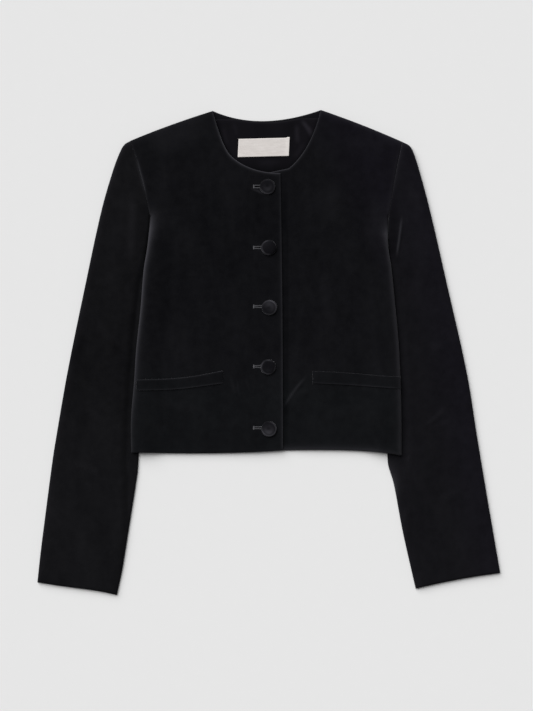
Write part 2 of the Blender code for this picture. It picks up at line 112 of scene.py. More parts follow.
# The cut of the jacket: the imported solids' sizes, with small changes at the folds
cloth = {
    "wall": 1.8,
    "layGap": 0.3,
    "sleeveStack": 4.5,  # height of a sleeve that lies under the body's side
    "liftRun": 42.0,
    "liftMargin": 5.0,
    "liftSlope": 34.0,
    "bodyPuff": 3.3,
    "shoulderPuff": 2.4,
    "shoulderReach": 120.0,
    "hemSink": 1.2,
    "hemReach": 40.0,
    "hangReach": 5.5,  # run of a hem or cuff that hangs toward what it lies on
    "hangShare": 0.5,
    "hangSide": 12.0,  # run from the side over which the hem starts to hang
    "hemY": -138.3,
    "overlap": (-72.0, 46.0, 1.0),  # the right front rises over the left one: from x, run, height
    "overlay": (-27.0, 8.0),  # its edge lies on the left one: from x, run
    "underlap": (70.0, 44.0, 1.4),  # the left front sinks under the right one: from x, run, depth
    "foldReach": 11.0,
    "headReach": 75.0,
    "headShare": 0.3,  # share of a sleeve over which the bow of the armhole dies out
    "tuckMargin": 6.0,
    "tuckRun": 3.0,
    "cuffFrom": 0.85,  # share of a sleeve where the arch of its cuff starts
    "cuffLift": 0.1,
    "archLean": 2.5,
    "armShare": 0.26,  # share of a body panel's rows that lies along the armhole
    "neckShare": 0.55,  # share of a front's columns that lies along the shoulder
    "kinkShare": 0.5,  # share of the neckline down to its kink
    "creaseFades": (0.35, 0.3),  # shares of a crease over which its two ends fade
    "underLight": 0.3,  # share of the painted sheen, painted shade and tone on a piece's underside
}

rightHalf = {
    "way": -1,
    "neck": (-78.3, 338.4),
    "crest": (-142.0, 318.4),  # point that the shoulder line bends to
    "tip": (-192.9, 296.8),
    "bend": (-176.9, 249.7),
    "underarm": (-165.8, 190.3),
    "hem": (-191.9, -139.5),
    "side": (  # y, x of the side edge, width of sleeve under it
        (-139.5, -191.9, 10.8),
        (-94.0, -192.3, 10.9),
        (-37.0, -187.8, 9.4),
        (4.0, -185.2, 7.2),
        (60.0, -179.2, 5.0),
        (116.0, -174.7, 1.0),
        (150.0, -169.3, 0.0),
        (190.3, -165.8, 0.0),
    ),
}
leftHalf = {
    "way": 1,
    "neck": (72.9, 339.7),
    "crest": (130.8, 320.1),
    "tip": (186.6, 295.2),
    "bend": (175.1, 244.5),
    "underarm": (167.7, 190.3),
    "hem": (185.5, -143.4),
    "side": (
        (-143.4, 185.5, 20.0),
        (-75.0, 185.1, 18.3),
        (4.0, 182.0, 12.3),
        (60.0, 177.2, 8.0),
        (116.0, 171.6, 2.0),
        (150.0, 167.0, 0.0),
        (190.3, 167.7, 0.0),
    ),
}


def armhole(half, t):
    return bentLine(half["tip"], half["bend"], half["underarm"], t)


def shoulderLine(half, t):  # from the tip over the crest to the neck
    return bentLine(half["tip"], half["crest"], half["neck"], t)


def sideLine(half, t):
    y = mix(half["underarm"][1], half["hem"][1], np.asarray(t))
    return np.column_stack((readTable(half["side"], y, 1), y))


def bodyEdge(half, v):  # armhole and then side edge, as one line
    arm = cloth["armShare"]
    upper = armhole(half, np.minimum(v / arm, 1.0))
    lower = sideLine(half, np.maximum((v - arm) / (1 - arm), 0.0))
    return np.where((v <= arm)[:, None], upper, lower)


def sideGap(half, x, y):
    inside = np.maximum(0.0, (readTable(half["side"], y, 1) - x) * half["way"])
    corner = np.hypot(x - half["underarm"][0], y - half["underarm"][1])
    return np.where(y > half["underarm"][1], corner, inside)


def liftOf(half, x, y):  # underside of the back, raised where a sleeve lies under it
    drop = half["underarm"][1] - y
    reach = readTable(half["side"], y, 2) + cloth["liftMargin"] + cloth["liftSlope"]
    across = ease((reach - sideGap(half, x, y)) / cloth["liftSlope"])
    return cloth["sleeveStack"] * across * ease(drop / cloth["liftRun"])


def backUnder(x, y):
    return np.where(x > 0, liftOf(leftHalf, x, y), liftOf(rightHalf, x, y))


def frontTop(half, x, y):
    height = cloth["bodyPuff"] - cloth["hemSink"] * ease(1 - (y - cloth["hemY"]) / cloth["hemReach"])
    tip = np.hypot(x - half["tip"][0], y - half["tip"][1])
    height = height + cloth["shoulderPuff"] * ease(1 - tip / cloth["shoulderReach"])
    if half is rightHalf:
        start, run, rise = cloth["overlap"]
        height = height + rise * ease((x - start) / run)
    else:
        start, run, sink = cloth["underlap"]
        height = height - sink * ease((start - x) / run)
    shoulder, _ = nearLine(np.stack((x, y), axis=-1), shoulderLine(half, np.linspace(0, 1, 9)))
    closing = roundFold(sideGap(half, x, y), cloth["foldReach"])
    closing = closing * roundFold(shoulder, cloth["foldReach"])
    base = liftOf(half, x, y) + cloth["wall"] + cloth["layGap"]
    return base + height * closing + cloth["wall"]


def panelPlan(us, vs, top, foot, first, last):  # plan points inside four edges
    topLine, footLine = top(us), foot(us)
    u = us[None, :, None]
    v = vs[:, None, None]
    plan = mix(topLine[None], footLine[None], v)
    plan = plan + (1 - u) ** 2 * (first(vs)[:, None] - mix(topLine[0], footLine[0], v))
    return plan + u**2 * (last(vs)[:, None] - mix(topLine[-1], footLine[-1], v))


# Creases are rows of x and y at both ends, bow, half width, height and the painted sheen along it, which is
# painted shade where below zero
def creased(plan, rows):
    height = np.zeros(plan.shape[:-1])
    light = np.zeros(plan.shape[:-1])
    fadeIn, fadeOut = cloth["creaseFades"]
    for startX, startY, endX, endY, bow, width, rise, shine in rows:
        start, end = np.array((startX, startY)), np.array((endX, endY))
        across = np.array((start[1] - end[1], end[0] - start[0]))
        across = across / np.linalg.norm(across)
        bend = (start + end) / 2 + 2 * bow * across
        gap, share = nearLine(plan, bentLine(start, bend, end, np.linspace(0, 1, 15)))
        swell = np.cos(np.pi / 2 * np.clip(gap / width, 0, 1)) ** 2
        swell = swell * ease(share / fadeIn) * ease((1 - share) / fadeOut)
        height += rise * swell
        light += shine * swell
    return height, light


# Kinds of edge: width of the roll, and the height share where its two faces meet
rolls = {
    "armhole": (2.4, 0.35),
    "armholeUnder": (2.4, 0.65),
    "bodyFold": (3.4, -0.14),
    "bodyFoldUnder": (3.4, 1.0),
    "frontEdge": (1.4, 0.4),
    "backEdge": (1.9, 0.5),
    "sleeveFold": (3.0, -0.14),
    "sleeveFoldUnder": (3.0, 1.0),
    "cuff": (1.7, 0.0),
    "cuffUnder": (1.7, 0.5),
    "weltTop": (1.3, 0.3),
    "weltSewn": (0.8, 0.1),
    "facingNeck": (1.4, 0.2),
    "facing": (1.2, 0.2),
    "label": (0.9, 0.3),
}


def evenGlow(light, width):
    return ((0.0, light, width), (1.0, light, width))


noGlow = evenGlow(0.0, 1.0)


# An edge has a line, a kind of roll, and rows of share along it, the painted sheen on its pile and width of
# that painted glow
def rolledEdges(plan, top, under, edges):
    full = np.ones(top.shape)
    weight = np.full(top.shape, 1e-9)
    meeting = np.zeros(top.shape)
    light = np.zeros(top.shape)
    for line, kind, glow in edges:
        width, meet = rolls[kind]
        gap, share = nearLine(plan, line)
        factor = roundFold(gap, width)
        full = full * factor
        weight += 1 - factor
        meeting += (1 - factor) * meet
        shares, peaks, reaches = np.array(glow).T
        peak = np.interp(share, shares, peaks)
        reach = np.interp(share, shares, reaches)
        light = np.maximum(light, peak * np.exp(-gap / reach))
    middle = under + meeting / weight * (top - under)
    return middle + (top - middle) * full, middle + (under - middle) * full, light


def addObject(name, data):
    added = bpy.data.objects.new(name, data)
    bpy.context.scene.collection.objects.link(added)
    return added


def meshPiece(name, points, faces, shine, finish):
    mesh = bpy.data.meshes.new(name)
    mesh.from_pydata((points * mm).tolist(), [], faces)
    pile = mesh.attributes.new("paintedLightAndTone", "FLOAT", "POINT")
    pile.data.foreach_set("value", np.asarray(shine, dtype=np.float32))
    mesh.shade_smooth()
    mesh.materials.append(finish)
    return addObject(name, mesh)


def clothPiece(name, plan, top, under, light, edges, finish):  # closed skin, its two faces share their rim
    top, under, glow = rolledEdges(plan, top, under, edges)
    light = light + glow
    rows, columns = top.shape
    inner = np.zeros(top.shape, bool)
    inner[1:-1, 1:-1] = True
    upper = np.arange(rows * columns).reshape(rows, columns)
    lower = upper.copy()
    lower[inner] = rows * columns + np.arange(inner.sum())
    rim = np.where(inner, top, (top + under) / 2)
    points = np.vstack((np.dstack((plan, rim)).reshape(-1, 3), np.dstack((plan, under))[inner]))

    def quads(index):
        corners = (index[:-1, :-1], index[1:, :-1], index[1:, 1:], index[:-1, 1:])
        return np.stack(corners, axis=-1).reshape(-1, 4)

    a, b, c = plan[0, 0], plan[-1, 0], plan[-1, -1]
    turned = (b[0] - a[0]) * (c[1] - a[1]) - (b[1] - a[1]) * (c[0] - a[0]) < 0
    faces = np.vstack((quads(upper), quads(lower)[:, ::-1]))
    if turned:
        faces = faces[:, ::-1]
    shine = np.concatenate((light.ravel(), cloth["underLight"] * light[inner]))
    return meshPiece(name, points, faces.tolist(), shine, finish)


# Shared shader effects
def feed(tree, socket, value):  # a number, a colour or what another node puts out
    if isinstance(value, (int, float)):
        socket.default_value = value
    elif isinstance(value, tuple):
        socket.default_value = (*value, 1.0)
    else:
        tree.links.new(value, socket)


def newGroup(name, scales, outputs):
    tree = bpy.data.node_groups.new(name, "ShaderNodeTree")
    tree.interface.new_socket("Place", in_out="INPUT", socket_type="NodeSocketVector")
    for label, scale in scales.items():
        socket = tree.interface.new_socket(label, in_out="INPUT", socket_type="NodeSocketFloat")
        socket.default_value = scale
    for label in outputs:
        tree.interface.new_socket(label, in_out="OUTPUT", socket_type="NodeSocketFloat")
    return tree, tree.nodes.new("NodeGroupInput").outputs, tree.nodes.new("NodeGroupOutput").inputs


def mathNode(tree, operation, a, b):
    node = tree.nodes.new("ShaderNodeMath")
    node.operation = operation
    for socket, value in zip(node.inputs, (a, b)):
        feed(tree, socket, value)
    return node.outputs[0]


def noiseNode(tree, vector, scale, detail, roughness=0.55):
    node = tree.nodes.new("ShaderNodeTexNoise")
    values = {"Vector": vector, "Scale": scale, "Detail": detail, "Roughness": roughness}
    for label, value in values.items():
        feed(tree, node.inputs[label], value)
    return node.outputs["Fac"]


def stretched(tree, vector, factors):
    node = tree.nodes.new("ShaderNodeVectorMath")
    node.operation = "MULTIPLY"
    node.inputs[1].default_value = factors
    tree.links.new(vector, node.inputs[0])
    return node.outputs[0]


def rangeNode(tree, value, low, high, newLow=0.0, newHigh=1.0):
    node = tree.nodes.new("ShaderNodeMapRange")
    values = {"Value": value, "From Min": low, "From Max": high, "To Min": newLow, "To Max": newHigh}
    for label, number in values.items():
        feed(tree, node.inputs[label], number)
    return node.outputs["Result"]


def mixNode(tree, factor, a, b):
    node = tree.nodes.new("ShaderNodeMix")
    node.data_type = "RGBA"
    for socket, value in ((0, factor), (6, a), (7, b)):  # the sockets of a colour mix
        feed(tree, node.inputs[socket], value)
    return node.outputs[2]


def makeNapGroup():  # brushed pile: soft patches, streaks along the nap, single tufts
    scales = {"Patch Scale": 20.0, "Streak Scale": 80.0, "Mottle Scale": 90.0, "Tuft Scale": 900.0}
    tree, given, put = newGroup("brushedPile", scales, ("Nap", "Tufts"))
    place = given["Place"]
    patches = noiseNode(tree, stretched(tree, place, (1.0, 0.55, 1.0)), given["Patch Scale"], 3.0)
    streaks = noiseNode(tree, stretched(tree, place, (1.0, 0.3, 1.0)), given["Streak Scale"], 3.0)
    mottles = noiseNode(tree, place, given["Mottle Scale"], 2.0)
    tufts = noiseNode(tree, place, given["Tuft Scale"], 2.0, 0.7)
    layers = (  # noise, the run of it that counts, and what it adds to the nap over that run
        (patches, 0.3, 0.7, 0.0, 0.36),
        (streaks, 0.3, 0.72, 0.0, 0.2),
        (mottles, 0.28, 0.72, 0.0, 0.4),
        (tufts, 0.3, 0.75, -0.1, 0.2),
    )
    nap = 0.0
    for layer in layers:
        nap = mathNode(tree, "ADD", rangeNode(tree, *layer), nap)
    tree.links.new(nap, put["Nap"])
    tree.links.new(tufts, put["Tufts"])
    return tree


def makeWeaveGroup():  # over and under threads of a plain or satin weave
    scales = {"Warp Scale": 1500.0, "Weft Scale": 1500.0, "Slub Scale": 320.0}
    tree, given, put = newGroup("wovenThreads", scales, ("Threads", "Slub"))
    place = given["Place"]
    split = tree.nodes.new("ShaderNodeSeparateXYZ")
    tree.links.new(place, split.inputs[0])
    waves = []
    for axis, label in (("X", "Warp Scale"), ("Y", "Weft Scale")):
        turns = mathNode(tree, "MULTIPLY", split.outputs[axis], given[label])
        waves.append(mathNode(tree, "SINE", turns, 0.0))
    threads = rangeNode(tree, mathNode(tree, "MULTIPLY", *waves), -1.0, 1.0)
    slub = noiseNode(tree, stretched(tree, place, (0.25, 1.0, 1.0)), given["Slub Scale"], 3.0)
    tree.links.new(threads, put["Threads"])
    tree.links.new(slub, put["Slub"])
    return tree


napGroup = makeNapGroup()
weaveGroup = makeWeaveGroup()


def newMaterial(name):
    material = bpy.data.materials.new(name)
    material.use_nodes = True
    tree = material.node_tree
    place = tree.nodes.new("ShaderNodeTexCoord").outputs["Object"]
    return material, tree, tree.nodes["Principled BSDF"], place


def placeGroup(tree, group, place, scales):
    node = tree.nodes.new("ShaderNodeGroup")
    node.node_tree = group
    tree.links.new(place, node.inputs["Place"])
    for label, scale in scales.items():
        node.inputs[label].default_value = scale
    return node.outputs


def bentPile(tree):  # painted sheen and painted shade with the pile's tone, which the mesh holds at each point
    node = tree.nodes.new("ShaderNodeAttribute")
    node.attribute_name = "paintedLightAndTone"
    return node.outputs["Fac"]


def finishCloth(tree, shader, colour, roughness, relief, look):
    tree.links.new(colour, shader.inputs["Base Color"])
    tree.links.new(roughness, shader.inputs["Roughness"])
    shader.inputs["Specular IOR Level"].default_value = look["specular"]
    shader.inputs["Sheen Weight"].default_value = look["sheen"]
    bump = tree.nodes.new("ShaderNodeBump")
    bump.inputs["Distance"].default_value = look["reliefHeight"]
    bump.inputs["Strength"].default_value = look["reliefStrength"]
    tree.links.new(relief, bump.inputs["Height"])
    tree.links.new(bump.outputs["Normal"], shader.inputs["Normal"])


# A cast is its way in x and y, the run over which it comes in, and its dark and light
violet = (0.0032, 0.0028, 0.0043), (0.0076, 0.0070, 0.0100)
bodyCasts = (
    ((1.0, 0.5), (0.20, 0.27), *violet),
    ((0.0, -1.0), (0.01, 0.06), (0.0023, 0.0025, 0.0030), (0.0064, 0.0071, 0.0079)),
)
leftSleeveCasts = (((1.0, 0.22), (0.20, 0.26), *violet),)

velvet = {
    "grounds": {  # dark and light of the pile, and its casts
        "body": ((0.0024, 0.0024, 0.0030), (0.0066, 0.0067, 0.0078), bodyCasts),
        "rightSleeve": ((0.0026, 0.0026, 0.0030), (0.0070, 0.0070, 0.0078), ()),
        "leftSleeve": ((0.0028, 0.0027, 0.0034), (0.0070, 0.0068, 0.0082), leftSleeveCasts),
        "welt": ((0.0026, 0.0026, 0.0033), (0.0066, 0.0067, 0.0078), bodyCasts),
        "button": ((0.0042, 0.0041, 0.0050), (0.0080, 0.0078, 0.0096), ()),
    },
    "bentPile": (0.058, 0.057, 0.066),  # colour of the painted sheen that rims, crease ridges and the tone mix toward
    "scales": {"Patch Scale": 20.0, "Streak Scale": 80.0, "Mottle Scale": 90.0, "Tuft Scale": 900.0},
    "roughness": (0.95, 0.82),
    "specular": 0.0,
    "sheen": 0.16,
    "buttonSheen": 0.3,
    "sheenRoughness": 0.32,
    "sheenTint": (0.95, 0.95, 1.0),
    "reliefHeight": 0.0004,
    "reliefStrength": 0.35,
}


def makeVelvet(key, sheen=velvet["sheen"]):
    material, tree, shader, place = newMaterial(f"{key}Velvet")
    dark, light, casts = velvet["grounds"][key]
    for way, run, castDark, castLight in casts:
        along = tree.nodes.new("ShaderNodeVectorMath")
        along.operation = "DOT_PRODUCT"
        along.inputs[1].default_value = (*way, 0.0)
        tree.links.new(place, along.inputs[0])
        cast = rangeNode(tree, along.outputs["Value"], *run)
        dark = mixNode(tree, cast, dark, castDark)
        light = mixNode(tree, cast, light, castLight)
    pile = placeGroup(tree, napGroup, place, velvet["scales"])
    uneven = rangeNode(tree, pile["Tufts"], 0.25, 0.75, 0.75, 1.25)
    # painted sheen on rims and ridges, painted shade and the pile's tone, as the mesh holds them
    bent = mathNode(tree, "MULTIPLY", bentPile(tree), uneven)
    ground = mixNode(tree, pile["Nap"], dark, light)
    colour = mixNode(tree, bent, ground, velvet["bentPile"])
    roughness = rangeNode(tree, pile["Nap"], 0.0, 1.0, *velvet["roughness"])
    finishCloth(tree, shader, colour, roughness, pile["Tufts"], {**velvet, "sheen": sheen})
    shader.inputs["Sheen Roughness"].default_value = velvet["sheenRoughness"]
    shader.inputs["Sheen Tint"].default_value = (*velvet["sheenTint"], 1.0)
    return material


satin = {
    "dark": (0.0018, 0.0017, 0.0022),
    "light": (0.0042, 0.0039, 0.0052),
    # colour of the painted sheen on the satin's rims and folds
    "bent": (0.034, 0.031, 0.040),
    "scales": {"Warp Scale": 5200.0, "Weft Scale": 2600.0},
    "patchScale": 26.0,
    "roughness": (0.62, 0.8),
    "specular": 0.012,
    "sheen": 0.02,
    "reliefHeight": 0.0001,
    "reliefStrength": 0.4,
}
tape = {
    "dark": (0.632, 0.590, 0.566),
    "light": (0.712, 0.674, 0.650),
    # colour of the painted sheen on the tape's edges and its fold
    "bent": (0.800, 0.760, 0.730),
    "scales": {"Warp Scale": 7000.0, "Weft Scale": 9000.0},
    "patchScale": None,  # its slubs alone vary its colour
    "roughness": (0.7, 0.85),
    "specular": 0.15,
    "sheen": 0.1,
    "reliefHeight": 0.00012,
    "reliefStrength": 0.5,
}


def makeWoven(name, look):
    material, tree, shader, place = newMaterial(name)
    weave = placeGroup(tree, weaveGroup, place, look["scales"])
    tint = weave["Slub"]
    if look["patchScale"]:
        tint = noiseNode(tree, stretched(tree, place, (1.0, 0.35, 1.0)), look["patchScale"], 3.0)
    ground = mixNode(tree, rangeNode(tree, tint, 0.3, 0.72), look["dark"], look["light"])
    # painted sheen and painted shade, mixed in where the mesh holds them
    colour = mixNode(tree, bentPile(tree), ground, look["bent"])
    roughness = rangeNode(tree, weave["Slub"], 0.3, 0.7, *look["roughness"])
    finishCloth(tree, shader, colour, roughness, weave["Threads"], look)
    return material


silk = {
    "colours": {
        "buttonholeSilk": ((0.034, 0.034, 0.039), (0.090, 0.090, 0.099)),
        "barTackSilk": ((0.054, 0.054, 0.060), (0.132, 0.132, 0.143)),
        "labelThread": ((0.52, 0.48, 0.45), (0.72, 0.68, 0.64)),
    },
    "twistScale": 2600.0,
    "roughness": (0.45, 0.65),
    "specular": 0.2,
    "sheen": 0.1,
    "reliefHeight": 0.0001,
    "reliefStrength": 0.5,
}


def makeThread(name):
    material, tree, shader, place = newMaterial(name)
    twist = noiseNode(tree, stretched(tree, place, (1.0, 1.0, 0.4)), silk["twistScale"], 2.0)
    colour = mixNode(tree, rangeNode(tree, twist, 0.3, 0.7), *silk["colours"][name])
    roughness = rangeNode(tree, twist, 0.3, 0.7, *silk["roughness"])
    finishCloth(tree, shader, colour, roughness, twist, silk)
    return material


velvets = {key: makeVelvet(key) for key in ("body", "rightSleeve", "leftSleeve", "welt")}
velvets["button"] = makeVelvet("button", velvet["buttonSheen"])
facingSatin = makeWoven("facingSatin", satin)
labelTape = makeWoven("labelTape", tape)
silks = {name: makeThread(name) for name in silk["colours"]}
print("materials made")


# Run of each edge and step between the grid lines along it. Body and sleeves share those of the armhole
grid = {
    "armhole": (107.0, 2.0),
    "frontSide": (330.0, 2.1),
    "backSide": (330.0, 4.5),
    "frontShoulder": (118.0, 2.1),
    "frontNeck": (112.0, 2.1),
    "backShoulder": (118.0, 4.0),
    "backNeck": (155.0, 2.8),
    "upperSleeve": (630.0, 2.2),
    "underSleeve": (630.0, 6.0),
    "weltDepth": (22.0, 1.0),
    "facingWidth": (180.0, 2.2),
    "facingDepth": (90.0, 2.2),
}


def bodyRows(side):  # down the armhole, then down the side
    below = mix(cloth["armShare"], 1.0, stations(*grid[side], False)[1:])
    return np.concatenate((armStations * cloth["armShare"], below))


armStations = stations(*grid["armhole"])
armRow = len(armStations) - 1
shoulderColumns = stations(*grid["frontShoulder"], True, False) * cloth["neckShare"]
neckColumns = mix(cloth["neckShare"], 1.0, stations(*grid["frontNeck"], False, True)[1:])
frontColumns = np.concatenate((shoulderColumns, neckColumns))
neckColumn = len(shoulderColumns) - 1

frontRight = {
    "neckBend": (-64.8, 286.4),
    "neckKink": (-52.4, 274.8),
    "neckTurn": (-27.9, 251.5),
    "neckCorner": (16.5, 250.7),
    "hemBend": (-60.0, -142.9),
    "edgeX": 19.9,
    "edgeBow": 1.0,
    "hemY": -136.6,
    "tone": (
        (-140.0, 0.044),
        (-60.0, 0.038),
        (60.0, 0.022),
        (180.0, 0.014),
        (250.0, 0.028),
        (340.0, 0.020),
    ),
    "creases": (
        (-182.0, 284.0, -80.0, 324.0, 1.0, 34.0, 0.0, 0.060),
        (-150.0, 268.0, -154.0, 196.0, 4.0, 15.0, 0.5, 0.030),
        (-150.0, 214.0, -92.0, 150.0, -8.0, 22.0, 0.5, 0.012),
        (-60.0, 236.0, -44.0, 128.0, 5.0, 18.0, 0.4, 0.010),
        (-128.0, 120.0, -112.0, -14.0, -6.0, 26.0, 0.6, 0.012),
        (-54.0, -30.0, -47.0, -60.0, 1.0, 4.4, 0.6, 0.034),
        (-43.0, -38.0, -40.0, -64.0, -0.8, 3.4, 0.5, 0.030),
        (-33.0, -34.0, -26.0, -58.0, 0.6, 3.8, 0.4, 0.022),
        (-170.0, -70.0, -84.0, -84.0, 3.0, 12.0, 0.5, 0.016),
        (-96.0, -104.0, -36.0, -96.0, -2.0, 10.0, 0.4, 0.014),
        (-24.0, 156.0, -4.0, 132.0, 2.0, 6.0, 0.4, 0.020),
        (-28.0, 231.5, 4.0, 219.0, -0.8, 3.0, 0.4, 0.170),
    ),
}
frontLeft = {
    "neckBend": (58.6, 282.0),
    "neckKink": (27.7, 257.5),
    "neckTurn": (4.6, 252.8),
    "neckCorner": (-18.6, 248.0),
    "hemBend": (125.0, -132.2),
    "underlapX": -18.6,
    "hemY": -137.9,
    "tone": ((-143.0, 0.044), (-60.0, 0.034), (60.0, 0.028), (180.0, 0.026), (340.0, 0.024)),
    "creases": (
        # painted shadow of the right front's edge on the left front
        (22.8, 280.0, 23.4, -190.0, 0.0, 6.5, 0.0, -0.060),
        (56.0, -30.0, 19.0, -80.0, -2.4, 2.8, 0.9, 0.170),
        (60.0, -50.0, 30.0, -72.0, -3.0, 9.0, 0.5, 0.020),
        (96.0, 300.0, 172.0, 280.0, 2.0, 22.0, 0.0, 0.024),
        (92.0, 238.0, 84.0, 176.0, 3.0, 17.0, 0.5, 0.040),
        (80.0, 120.0, 92.0, 30.0, -4.0, 18.0, 0.5, 0.030),
        (152.0, 232.0, 128.0, 140.0, 7.0, 18.0, 0.6, 0.024),
        (108.0, 240.0, 60.0, 190.0, -5.0, 20.0, 0.5, 0.020),
        (140.0, 90.0, 120.0, -10.0, 5.0, 24.0, 0.6, 0.012),
        (150.0, -66.0, 70.0, -92.0, 4.0, 12.0, 0.5, 0.014),
        (104.0, -120.0, 44.0, -102.0, -3.0, 10.0, 0.4, 0.012),
    ),
}


def frontTopLine(half, front, us):  # shoulder, then the neckline in two bends
    share, kink = cloth["neckShare"], cloth["kinkShare"]
    shoulder = shoulderLine(half, np.minimum(us / share, 1.0))
    turn = np.maximum((us - share) / (1 - share), 0.0)
    upper = bentLine(half["neck"], front["neckBend"], front["neckKink"], np.minimum(turn / kink, 1.0))
    after = np.maximum((turn - kink) / (1 - kink), 0.0)
    lower = bentLine(front["neckKink"], front["neckTurn"], front["neckCorner"], after)
    neck = np.where((turn <= kink)[:, None], upper, lower)
    return np.where((us <= share)[:, None], shoulder, neck)


def rightFrontHem(us):
    return bentLine(rightHalf["hem"], frontRight["hemBend"], (frontRight["edgeX"], frontRight["hemY"]), us)


def rightFrontEdge(vs):
    corner = frontRight["neckCorner"]
    x = mix(corner[0], frontRight["edgeX"], vs) + 4 * frontRight["edgeBow"] * vs * (1 - vs)
    return np.column_stack((x, mix(corner[1], frontRight["hemY"], vs)))


def leftFrontHem(us):
    return bentLine(leftHalf["hem"], frontLeft["hemBend"], (frontLeft["underlapX"], frontLeft["hemY"]), us)


def leftFrontEdge(vs):
    return straightLine(frontLeft["neckCorner"], (frontLeft["underlapX"], frontLeft["hemY"]), vs)


def frontPlan(half, us, vs):
    front, hem, edge = frontLeft, leftFrontHem, leftFrontEdge
    if half is rightHalf:
        front, hem, edge = frontRight, rightFrontHem, rightFrontEdge
    return panelPlan(us, vs, lambda u: frontTopLine(half, front, u), hem, lambda v: bodyEdge(half, v), edge)


def toneDown(plan, rows):  # rows of y and how much lighter the pile is made there
    table = np.array(rows)
    return np.interp(plan[..., 1], table[:, 0], table[:, 1])


def frontSurface(half, plan):  # height of a front's face with its creases, and their light
    front = frontRight if half is rightHalf else frontLeft
    rise, light = creased(plan, front["creases"])
    return frontTop(half, plan[..., 0], plan[..., 1]) + rise, light + toneDown(plan, front["tone"])


# Rows of share along the edge, painted sheen on the pile there and width of that painted glow
edgeGlow = {
    "right": {
        "armhole": (
            (0.0, 0.06, 1.1),
            (0.24, 0.12, 1.1),
            (0.32, 0.50, 1.1),
            (0.55, 0.62, 1.1),
            (0.64, 0.50, 1.1),
            (0.72, 0.18, 1.2),
            (0.8, 0.08, 1.4),
            (0.9, 0.20, 2.4),
            (1.0, 0.30, 3.0),
        ),
        "side": (
            (0.0, 0.50, 6.0),
            (0.05, 0.92, 4.6),
            (0.11, 0.95, 2.9),
            (0.3, 0.95, 2.3),
            (0.52, 0.78, 2.2),
            (0.7, 0.50, 2.6),
            (0.82, 0.36, 2.4),
            (0.9, 0.22, 2.0),
            (1.0, 0.20, 2.4),
        ),
        "shoulder": ((0.0, 0.10, 1.8), (0.5, 0.04, 1.8), (1.0, 0.06, 1.6)),
        "neck": ((0.0, 0.3, 1.1), (0.25, 0.9, 1.1), (0.5, 1.1, 1.15), (0.8, 0.8, 1.1), (1.0, 0.66, 1.1)),
        "hem": ((0.0, 0.14, 2.0), (0.6, 0.12, 1.6), (1.0, 0.26, 1.4)),
        "edge": ((0.0, 0.30, 1.1), (0.4, 0.50, 1.2), (1.0, 0.50, 1.2)),
    },
    "left": {
        "armhole": ((0.0, 0.10, 2.2), (0.6, 0.11, 2.4), (1.0, 0.18, 4.0)),
        "side": (
            (0.0, 0.12, 9.0),
            (0.03, 0.24, 7.0),
            (0.05, 0.50, 5.0),
            (0.075, 1.10, 4.0),
            (0.105, 1.05, 2.8),
            (0.14, 1.20, 2.0),
            (0.21, 1.05, 1.9),
            (0.3, 0.85, 2.3),
            (0.55, 0.85, 2.2),
            (0.8, 0.54, 3.0),
            (1.0, 0.50, 2.6),
        ),
        "shoulder": ((0.0, 0.24, 2.6), (0.5, 0.24, 2.6), (1.0, 0.24, 2.0)),
        "neck": ((0.0, 0.3, 1.0), (0.2, 0.32, 1.0), (0.5, 0.5, 1.1), (0.7, 0.6, 1.1), (1.0, 0.40, 1.0)),
        "hem": ((0.0, 0.2, 2.4), (0.2, 0.55, 2.8), (0.8, 0.55, 2.8), (1.0, 0.3, 2.0)),
        "edge": noGlow,
    },
}


def makeFront(side, half):
    plan = frontPlan(half, frontColumns, bodyRows("frontSide"))
    top, light = frontSurface(half, plan)
    x, y = plan[..., 0], plan[..., 1]
    floorTop = liftOf(half, x, y) + cloth["wall"]
    if half is rightHalf:
        start, run = cloth["overlay"]
        floorTop = floorTop + (cloth["wall"] + cloth["layGap"]) * ease((x - start) / run)
    hemGap, _ = nearLine(plan, plan[-1])
    hang = (1 - roundFold(hemGap, cloth["hangReach"])) * ease(sideGap(half, x, y) / cloth["hangSide"])
    top = mix(top, floorTop, cloth["hangShare"] * hang)
    glow = edgeGlow[side]
    edges = (
        (plan[: armRow + 1, 0], "armhole", glow["armhole"]),
        (plan[armRow:, 0], "bodyFold", glow["side"]),
        (plan[0, : neckColumn + 1], "bodyFold", glow["shoulder"]),
        (plan[0, neckColumn:], "frontEdge", glow["neck"]),
        (plan[-1], "frontEdge", glow["hem"]),
        (plan[:, -1], "frontEdge", glow["edge"]),
    )
    return clothPiece(f"velvet_front_{side}", plan, top, top - cloth["wall"], light, edges, velvets["body"])


velvetFrontRight = makeFront("right", rightHalf)
velvetFrontLeft = makeFront("left", leftHalf)
print("fronts made")


back = {
    "neckBend": (-13.0, 309.4),
    "hemShort": 8.0,
    "tone": ((-140.0, 0.042), (60.0, 0.032), (340.0, 0.028)),
    # painted sheen along the back neck edge
    "neckGlow": evenGlow(0.2, 1.2),
    "creases": (  # on the outside, which lies on the surface, as shallow hollows
        (-120.0, 190.0, -70.0, 40.0, 9.0, 16.0, 0.7, 0.0),
        (96.0, 176.0, 60.0, 60.0, -7.0, 14.0, 0.6, 0.0),
        (-30.0, 120.0, 14.0, 104.0, 3.0, 9.0, 0.5, 0.0),
        (-110.0, -20.0, -40.0, -48.0, -5.0, 11.0, 0.7, 0.0),
        (24.0, -30.0, 104.0, -64.0, 6.0, 12.0, 0.6, 0.0),
        (-14.0, 60.0, -8.0, -70.0, 4.0, 8.0, 0.5, 0.0),
    ),
}
tipSpan = leftHalf["tip"][0] - rightHalf["tip"][0]
backNeckShares = [(half["neck"][0] - rightHalf["tip"][0]) / tipSpan for half in (rightHalf, leftHalf)]


def backNeck(t):
    return bentLine(rightHalf["neck"], back["neckBend"], leftHalf["neck"], t)


